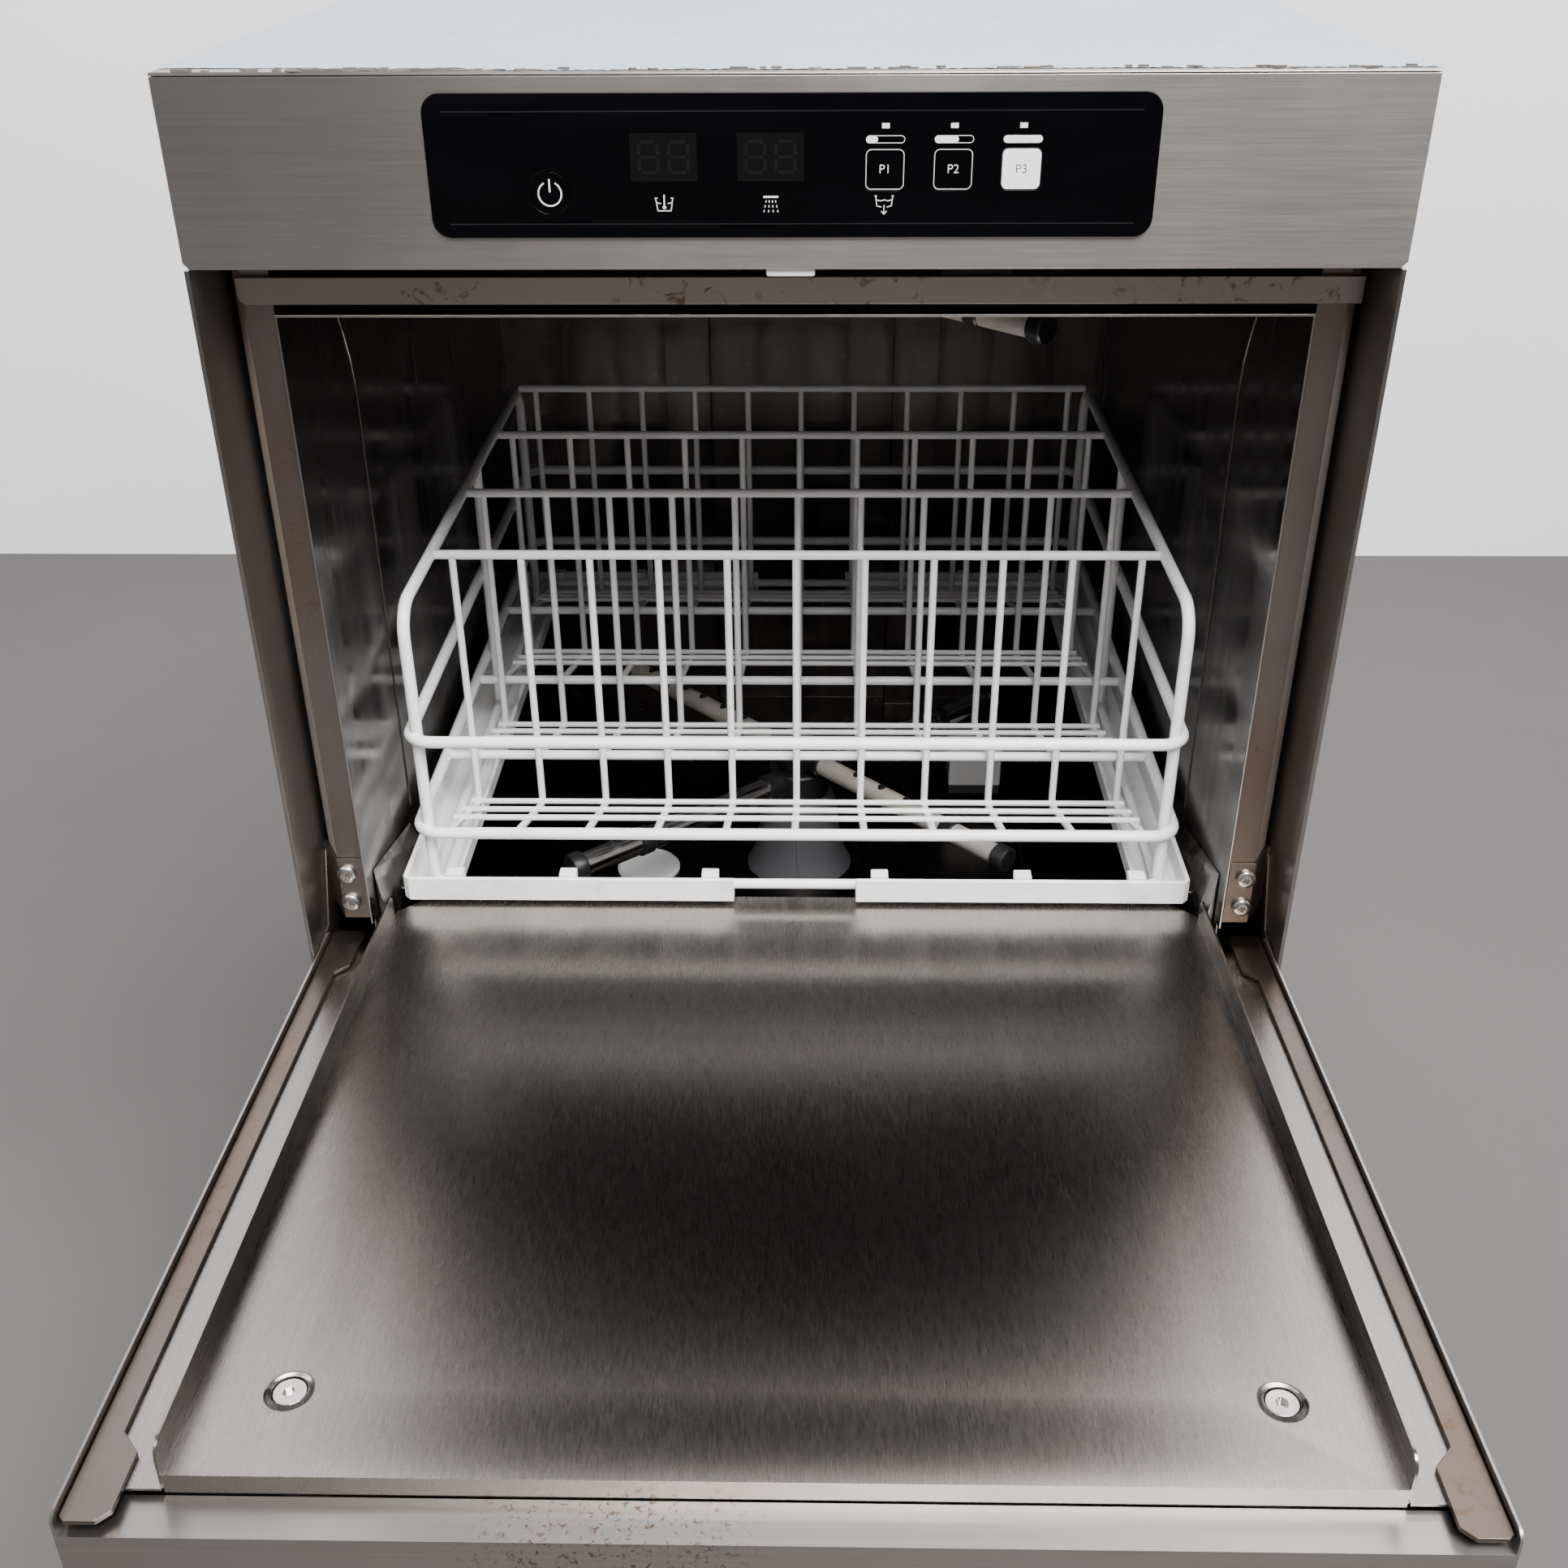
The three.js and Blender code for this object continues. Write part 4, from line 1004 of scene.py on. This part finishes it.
def add_screw(form, origin, direction):
    """A pan head with a six-lobed recess."""
    profile = [(0, 0), (4.9, 0), (5.0, 0.5), (4.8, 1.5), (4.1, 2.3), (3.0, 2.75), (2.3, 2.85)]
    add_lathe(form, profile, origin, direction, 48)
    form.verts.ensure_lookup_table()
    rim = form.verts[-48:]
    turn = Vector(direction).to_track_quat("Z", "Y").to_matrix().to_4x4()
    place = Matrix.Translation(origin) @ turn
    star = []
    for i in range(48):
        angle = 2 * math.pi * i / 48
        reach = 1.62 + 0.34 * math.cos(6 * angle)
        star.append((reach * math.cos(angle), reach * math.sin(angle)))
    upper = [form.verts.new(place @ (Vector((a, b, 2.8)) * MM)) for a, b in star]
    lower = [form.verts.new(place @ (Vector((a * 0.94, b * 0.94, 1.2)) * MM)) for a, b in star]
    for i in range(48):
        j = (i + 1) % 48
        form.faces.new((rim[i], rim[j], upper[j], upper[i]))
        form.faces.new((upper[i], upper[j], lower[j], lower[i]))
    form.faces.new(lower)


class WASHER_OT_tank(bpy.types.Operator):
    """Tank, doorway columns, hinge brackets and fittings"""

    bl_idname = "washer.tank"
    bl_label = "Tank"

    def execute(self, context):
        tank = refined("wash_tank", "tank", "cabinet", 0.0004, "Z")
        # Painted highlight: the front faces of the tank's lip take the lighter side-panel steel, for a bright
        # line along its edge.
        lip = at(0, 30, 0).y
        recoloured(tank, "steel_upright", lambda face: face.normal.y < -0.9 and face.center.y < lip)
        refined("header_rail", "steel_stained", "cabinet", 0.0004)
        for name, side in (("left", -1), ("right", 1)):
            column = refined(f"front_column_{name}", "steel_tinted", "cabinet", 0.0005, "Z")
            # Painted light: the chamfer's faces take the lighter flank steel.
            recoloured(column, "column_flank",
                       lambda face: face.normal.y < -0.2 and abs(face.normal.x) > 0.3)
            refined(f"rack_guide_{name}", "guide", "cabinet", 0.0003, "Y")
            refined(f"hinge_bracket_{name}", "steel_tinted", "cabinet", 0.0003, "Z")
            form = bmesh.new()
            add_screw(form, at(side * 219.4, 26.4, 317), (0, -1, 0))
            step = Vector((0, 0, 0.0165))
            screws = repeated(mesh_of(outward(form)), 2, step, "screw")
            make_piece(f"bracket_screws_{name}", screws, "screw", "cabinet")
            x = side * 208.8
            path = [(x, y, z) for y, z in ((106, 586), (112, 576), (118, 563), (121, 547), (120, 500),
                                           (117, 412), (115, 320))]
            ridge = wires([path], 0.0006, 0.03, sides=12, finish="tank")
            make_piece(f"wall_rib_{name}", ridge, "tank", "cabinet")
        refined("tank_filter", "tank", "cabinet", 0.0005, "X")
        refined("level_chamber", "chamber", "cabinet", 0.001)
        column = bmesh.new()
        centre = at(0, CENTRE_Y, 0)
        add_lathe(
            column,
            [(0, 159.6), (15.4, 159.6), (15.4, 190.2), (33.6, 190.2), (33.8, 191), (31, 197), (28.4, 204),
             (26.8, 211), (24.6, 228), (23, 238), (21.6, 241.4), (19.8, 243.2), (15, 243.8), (5, 243.8),
             (5, 278.4), (8.4, 278.4), (9, 279.2), (9, 284.4), (7.4, 288), (5, 289), (0, 289)],
            centre, (0, 0, 1), 64,
        )
        outward(column)
        add_prism(column, [(-33.4, 191), (-15, 191), (-15, 243), (-20.5, 243), (-25.4, 226), (-28.6, 206)],
                  lambda a, b, c: at(-1.3 + c, CENTRE_Y + a, b), 2.6)
        turned_piece("arm_column_turned", column, "grey", "cabinet", ("lower_arm_column",))
        spindle = bmesh.new()
        add_lathe(
            spindle,
            [(0, 558), (7.4, 558), (8, 558.8), (8, 562), (5, 562), (5, 596), (17, 596), (18, 597),
             (18, 605), (0, 605)],
            centre, (0, 0, 1), 48,
        )
        turned_piece("upper_spindle_turned", spindle, "grey", "cabinet", ("upper_arm_spindle",))
        disc = bmesh.new()
        add_lathe(
            disc,
            [(0, 193.7), (19.4, 193.7), (20, 194.4), (20, 195.8), (18.4, 197.6), (6, 198.3), (0, 198.3)],
            at(-97, 246, 0), (0, 0, 1), 56,
        )
        turned_piece("overflow_disc_turned", disc, "white", "cabinet", ("overflow_disc",))
        return {"FINISHED"}


# ---------------------------------------------------------------- spray arms


WASH_ANGLE, RINSE_ANGLE = 40, -46
# Tube radius, reach, tube finish, hub radius, hub height.
WASH_ARM = (7.5, 163, "chrome", 19, 17.4)
RINSE_ARM = (6.0, 172, "beige", 13, 14.8)


def arm_point(angle, reach, z):
    turn = math.radians(angle)
    return at(reach * math.cos(turn), CENTRE_Y + reach * math.sin(turn), z)


def add_band(form, angle, reach, z, radius, width):
    """A collar round the tube at some reach along it."""
    start, end = (arm_point(angle, reach + side * width / 2, z) for side in (-1, 1))
    add_rod(form, start, end, radius, 32, 0.8)


def build_arm(prefix, angle, z, tube_radius, reach, tube_finish, hub_radius, hub_height, capped):
    """One arm: tube, hub, collars and its row of jets."""
    tube = bmesh.new()
    add_rod(tube, arm_point(angle + 180, reach, z), arm_point(angle, reach, z), tube_radius, 36, 0.6)
    turned_piece(f"{prefix}_tube_round", tube, tube_finish, prefix, (f"{prefix}_tube",))
    hub = bmesh.new()
    half = hub_height / 2
    add_lathe(
        hub,
        [(5.3, z - half), (hub_radius - 1, z - half), (hub_radius, z - half + 1), (hub_radius, z + half - 1),
         (hub_radius - 1, z + half), (5.3, z + half)],
        at(0, CENTRE_Y, 0), (0, 0, 1), 48, closed=True,
    )
    for turn in (0, 180):
        add_rod(hub, arm_point(angle + turn, hub_radius - 3, z), arm_point(angle + turn, hub_radius + 9, z),
                tube_radius + 1.6, 32, 0.8)
    turned_piece(f"{prefix}_hub_turned", hub, "black", prefix, (f"{prefix}_hub",))
    collars = bmesh.new()
    for turn in (0, 180):
        add_band(collars, angle + turn, reach * 0.74, z, tube_radius + 1.2, 9)
        if not capped:
            add_band(collars, angle + turn, reach - 4.5, z, tube_radius + 1.6, 9)
    turned_piece(f"{prefix}_collars", collars, "black", prefix)
    jets = bmesh.new()
    for turn in (0, 180):
        for share in (0.3, 0.42, 0.54, 0.64, 0.85):
            foot = arm_point(angle + turn, reach * share, z + tube_radius - 0.8)
            add_lathe(jets, [(0, 0), (2.6, 0), (2.2, 1.6), (1.2, 1.9), (0, 1.7)], foot, (0, 0, 1), 18)
    turned_piece(f"{prefix}_jets", jets, "black", prefix)
    if not capped:
        return
    for end, turn in (("a", 0), ("b", 180)):
        cap = bmesh.new()
        start = arm_point(angle + turn, reach + 0.3, z)
        away = arm_point(angle + turn, reach + 1, z) - arm_point(angle + turn, reach, z)
        profile = [(0, 0), (8.8, 0), (9.4, 0.8), (9.4, 6.4), (8.2, 8.2), (5, 8.9), (0, 8.9)]
        add_lathe(cap, profile, start, away, 36)
        turned_piece(f"{prefix}_cap_{end}_turned", cap, "black", prefix, (f"{prefix}_cap_{end}",))


class WASHER_OT_arms(bpy.types.Operator):
    """Wash and rinse arms, below and above the rack"""

    bl_idname = "washer.arms"
    bl_label = "Spray arms"

    def execute(self, context):
        build_arm("lower_wash_arm", WASH_ANGLE, 254, *WASH_ARM, True)
        build_arm("lower_rinse_arm", RINSE_ANGLE, 270.6, *RINSE_ARM, False)
        build_arm("upper_wash_arm", WASH_ANGLE, 586.4, *WASH_ARM, False)
        build_arm("upper_rinse_arm", RINSE_ANGLE, 569.8, *RINSE_ARM, False)
        return {"FINISHED"}


# ---------------------------------------------------------------- door


class WASHER_OT_door(bpy.types.Operator):
    """Door skin, liner, hinge arms, handle and its bolts"""

    bl_idname = "washer.door"
    bl_label = "Door"

    def execute(self, context):
        edge = context.scene.washer_finishes.edge
        refined("door_skin", "steel_rusty", "door", edge)
        refined("door_liner", "door_panel", "door", edge, "Y")
        for side in ("left", "right"):
            refined(f"door_arm_{side}", "steel_arm", "door", 0.0003, "Y")
            refined(f"handle_bolt_{side}", "screw", "door", 0.0003)
        bar = bmesh.new()
        ends = (on_door(x, HANDLE_OUT, HANDLE_HEIGHT) for x in (-190, 190))
        add_rod(bar, *ends, 11, 48, 1.2)
        for x in (-HANDLE_X, HANDLE_X):
            add_rod(bar, on_door(x, -0.3, HANDLE_HEIGHT), on_door(x, -30, HANDLE_HEIGHT), 7, 32, 0.6)
        turned_piece("door_handle_bar", bar, "steel_across", "door", ("door_handle",))
        return {"FINISHED"}


# ---------------------------------------------------------------- rack

RACK_TOP = 459.5
POST_X = 185
FLOOR_HIGH, FLOOR_LOW = 340, 313.5
ROWS = ((54, 128), (135, 217), (226, 317), (326, 412))


def basket_mesh(sizes):
    """The coated wire basket."""
    frame_wire, upright_wire, thin_wire = sizes.frame_wire, sizes.upright_wire, sizes.thin_wire
    parts = []
    sides = [[(side * POST_X, y, z) for y, z in ((60, 306), (60, RACK_TOP), (412, RACK_TOP), (412, 306))]
             for side in (-1, 1)]
    parts.append(wires(sides, frame_wire, 0.016))
    posts = [[(side * POST_X, 258, 306), (side * POST_X, 258, RACK_TOP)] for side in (-1, 1)]
    parts.append(wires(posts, frame_wire, 0))

    def ring(half, z):
        return [[(-half, 54, z), (half, 54, z), (half, 446, z), (-half, 446, z)]]

    parts.append(wires(ring(190.6, FLOOR_HIGH), frame_wire, 0.012, closed=True))
    parts.append(wires(ring(189.6, 392), frame_wire, 0.012, closed=True))
    bottom = [[(-POST_X, 56.3, 309), (POST_X, 56.3, 309), (POST_X, 443.7, 309), (-POST_X, 443.7, 309)]]
    parts.append(wires(bottom, frame_wire * 0.87, 0.008, closed=True))
    for start, y in ROWS:
        parts.append(wires([[(-POST_X, y, RACK_TOP), (POST_X, y, RACK_TOP)]], upright_wire * 1.26, 0))
        if start > 60:
            parts.append(wires([[(-190, start, FLOOR_HIGH), (190, start, FLOOR_HIGH)]], frame_wire * 0.87, 0))
        upright = [(0, y, RACK_TOP + 1.6), (0, y, FLOOR_LOW), (0, start - 1.5, FLOOR_HIGH + 1.6)]
        parts.append(wires([upright], upright_wire, 0.004, sizes.uprights, sizes.pitch, sides=12))
        fall = (FLOOR_HIGH - FLOOR_LOW) / (y - start)
        thin = [[(x, y - back, FLOOR_LOW + fall * back + 2.6) for x in (-177, 177)] for back in (6, 27, 47)]
        parts.append(wires(thin, thin_wire, 0, sides=10))
    return together(parts)


class WASHER_OT_rack(bpy.types.Operator):
    """Glass rack: coated wire basket in two plastic channels"""

    bl_idname = "washer.rack"
    bl_label = "Rack"

    def execute(self, context):
        basket = make_piece("rack_basket_wires", basket_mesh(context.scene.washer_rack), "wire", "rack",
                            ("rack_basket",), smooth=60.0)
        for side in ("left", "right"):
            refined(f"rack_base_{side}", "white", "rack", 0.0005)
        return {"FINISHED"}


# ---------------------------------------------------------------- service space


class WASHER_OT_service(bpy.types.Operator):
    """Pumps, boiler, valve and fittings under the tank"""

    bl_idname = "washer.service"
    bl_label = "Service space"

    def execute(self, context):
        boiler = bmesh.new()
        add_lathe(
            boiler,
            [(0, 0), (27, 0), (30, 2), (30, 12), (46, 13), (51, 18), (52, 26), (52, 168), (51, 176),
             (44, 181), (0, 182)],
            at(90, 318, 92), (0, 1, 0), 56,
        )
        add_rod(boiler, at(90, 400, 140), at(90, 400, 152), 9)
        turned_piece("rinse_boiler_turned", boiler, "zinc", "cabinet", ("rinse_boiler",))
        pump = bmesh.new()
        add_rod(pump, at(-120, 120, 82), at(-10, 120, 82), 42, 48, 4)
        volute = [(0, 0), (46, 0), (50, 4), (50, 40), (44, 48), (0, 48.5)]
        add_lathe(pump, volute, at(-10.5, 120, 82), (1, 0, 0), 56)
        add_rod(pump, at(20, 120, 120), at(20, 120, 148), 14, 32, 1)
        add_prism(pump, box_outline(-100, 30, -30, 60), lambda a, b, c: at(a, 85 + c, b), 70)
        rib = bmesh.new()
        profile = [(41.5, 0), (44, 0.4), (44, 3.2), (41.5, 3.6)]
        add_lathe(rib, profile, at(-112, 120, 82), (1, 0, 0), 48, closed=True)
        ribs = repeated(mesh_of(outward(rib)), 12, Vector((0.008, 0, 0)), "black")
        outward(pump)
        pump.from_mesh(ribs)
        make_piece("wash_pump_ribbed", mesh_of(pump), "black", "cabinet", ("wash_pump",))
        drain = bmesh.new()
        add_rod(drain, at(-150, 300, 66), at(-80, 300, 66), 30, 40, 3)
        add_rod(drain, at(-80.5, 300, 66), at(-52, 300, 66), 24, 40, 3)
        add_prism(drain, box_outline(-140, 28, -95, 50), lambda a, b, c: at(a, 280 + c, b), 40)
        add_rod(drain, at(-90, 300, 70), at(-90, 552, 70), 14, 40, 1)
        for y in (538, 544, 549):
            add_lathe(drain, [(13, 0), (14.0, 0), (13.4, 2.4)], at(-90, y, 70), (0, 1, 0), 40, closed=True)
        turned_piece("drain_pump_turned", drain, "grey", "cabinet", ("drain_pump",))
        valve = bmesh.new()
        add_rod(valve, at(-150, 480, 90), at(-150, 549, 90), 11, 40, 1)
        add_prism(valve, rounded(-166, 72, -134, 112, 4), lambda a, b, c: at(a, 440 + c, b), 42)
        turned_piece("inlet_valve_moulded", valve, "white", "cabinet", ("inlet_valve",))
        gland = bmesh.new()
        add_rod(gland, at(150, 525, 90), at(150, 545, 90), 9, 40, 1.5)
        add_lathe(gland, [(0, 0), (12, 0), (12, 6), (11, 7), (0, 7)], at(150, 536, 90), (0, 1, 0), 6)
        turned_piece("cable_gland_moulded", gland, "black", "cabinet", ("cable_gland",))
        return {"FINISHED"}


# ---------------------------------------------------------------- stage


# Metres: half the width, the backdrop's distance behind the machine's front, its height.
STAGE_HALF, STAGE_DEPTH, STAGE_HEIGHT = 6, 1.25, 4
CAMERA_PLACE = (9.765, -645.06, 776.4)
CAMERA_YAW_PITCH_ROLL = (-1.2255, 30.2067, -0.3775)


def soft_light(name, place, target, size, power, mirrored=True):
    """A large rectangular studio light."""
    data = bpy.data.lights.new(name, "AREA")
    data.shape = "RECTANGLE"
    data.size, data.size_y = size
    data.energy = power
    light = bpy.data.objects.new(name, data)
    light.visible_glossy = mirrored
    light.location = place
    light.rotation_mode = "QUATERNION"
    light.rotation_quaternion = (Vector(target) - Vector(place)).to_track_quat("-Z", "Y")
    bpy.context.scene.collection.objects.link(light)


def stage_sheet(name, finish, corners):
    """A flat sheet of the stage, its corners in metres from the front of the machine."""
    form = bmesh.new()
    for x, y, z in corners:
        form.verts.new((x, FRONT + y, z))
    form.faces.new(form.verts)
    sheet = bpy.data.objects.new(name, mesh_of(form))
    sheet.data.materials.append(finish)
    return sheet


class WASHER_OT_stage(bpy.types.Operator):
    """Floor, backdrop, lights and camera"""

    bl_idname = "washer.stage"
    bl_label = "Stage"

    def execute(self, context):
        settings = context.scene.washer_stage
        floor_finish = stage_paint("stage_floor", tuple(settings.floor), 1.6).material
        wall_finish = stage_paint("stage_wall", tuple(settings.wall), 0.9).material
        half, away, high = STAGE_HALF, STAGE_DEPTH, STAGE_HEIGHT
        ground = ((-half, -half, 0), (half, -half, 0), (half, away, 0), (-half, away, 0))
        behind = ((-half, away, 0), (half, away, 0), (half, away, high), (-half, away, high))
        floor = stage_sheet("stage_floor", floor_finish, ground)
        wall = stage_sheet("stage_wall", wall_finish, behind)
        for thing in (floor, wall):
            context.scene.collection.objects.link(thing)

        world = bpy.data.worlds.new("Studio")
        world.use_nodes = True
        backdrop = world.node_tree.nodes["Background"]
        backdrop.inputs["Color"].default_value = (0.85, 0.85, 0.865, 1)
        backdrop.inputs["Strength"].default_value = 0.43
        context.scene.world = world
        soft_light("key", (0.7, FRONT - 1.3, 2.6), (0, FRONT, 0.4), (2.2, 1.2), 215)
        soft_light("top", (0.4, FRONT + 0.2, 2.8), (0, FRONT + 0.1, 0.5), (2.8, 1.6), 195, mirrored=False)
        soft_light("fill", (-2.1, FRONT - 0.5, 1.6), (0, FRONT, 0.5), (0.9, 1.6), 30)

        yaw, pitch, roll = (math.radians(angle) for angle in CAMERA_YAW_PITCH_ROLL)
        ahead = Vector((math.sin(yaw) * math.cos(pitch), math.cos(yaw) * math.cos(pitch), -math.sin(pitch)))
        right = Vector((math.cos(yaw), -math.sin(yaw), 0))
        up = right.cross(ahead)
        tilted_right = right * math.cos(roll) + up * math.sin(roll)
        tilted_up = up * math.cos(roll) - right * math.sin(roll)
        data = bpy.data.cameras.new("camera")
        data.sensor_width = 36.0
        data.lens = settings.lens
        data.clip_start = 0.01
        camera = bpy.data.objects.new("camera", data)
        place = at(*CAMERA_PLACE)
        camera.matrix_world = Matrix((
            (tilted_right.x, tilted_up.x, -ahead.x, place.x),
            (tilted_right.y, tilted_up.y, -ahead.y, place.y),
            (tilted_right.z, tilted_up.z, -ahead.z, place.z),
            (0, 0, 0, 1),
        ))
        context.scene.collection.objects.link(camera)
        context.scene.camera = camera
        return {"FINISHED"}


class WASHER_PT_pieces(bpy.types.Panel):
    """Lists the pieces in the sidebar"""

    bl_label = "Glass washer"
    bl_idname = "WASHER_PT_pieces"
    bl_space_type = "VIEW_3D"
    bl_region_type = "UI"
    bl_category = "Glass washer"

    def draw(self, context):
        layout = self.layout
        for group in (context.scene.washer_rack, context.scene.washer_finishes, context.scene.washer_stage):
            box = layout.box()
            for name in group.bl_rna.properties.keys():
                if name not in ("rna_type", "name"):
                    box.prop(group, name)
        for operator in OPERATORS:
            layout.operator(operator.bl_idname)


OPERATORS = (
    WASHER_OT_stage,
    WASHER_OT_cabinet,
    WASHER_OT_controls,
    WASHER_OT_tank,
    WASHER_OT_arms,
    WASHER_OT_door,
    WASHER_OT_rack,
    WASHER_OT_service,
)
CLASSES = (WasherRackSizes, WasherFinishes, WasherStage, *OPERATORS, WASHER_PT_pieces)


def register():
    for kind in CLASSES:
        bpy.utils.register_class(kind)
    bpy.types.Scene.washer_rack = PointerProperty(type=WasherRackSizes)
    bpy.types.Scene.washer_finishes = PointerProperty(type=WasherFinishes)
    bpy.types.Scene.washer_stage = PointerProperty(type=WasherStage)


def unregister():
    del bpy.types.Scene.washer_stage
    del bpy.types.Scene.washer_finishes
    del bpy.types.Scene.washer_rack
    for kind in reversed(CLASSES):
        bpy.utils.unregister_class(kind)


def main():
    register()
    mix_finishes(bpy.context)
    bpy.ops.washer.stage()
    bpy.ops.washer.cabinet()
    bpy.ops.washer.controls()
    bpy.ops.washer.tank()
    bpy.ops.washer.arms()
    bpy.ops.washer.door()
    bpy.ops.washer.rack()
    bpy.ops.washer.service()
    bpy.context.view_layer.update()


if __name__ == "__main__":
    main()
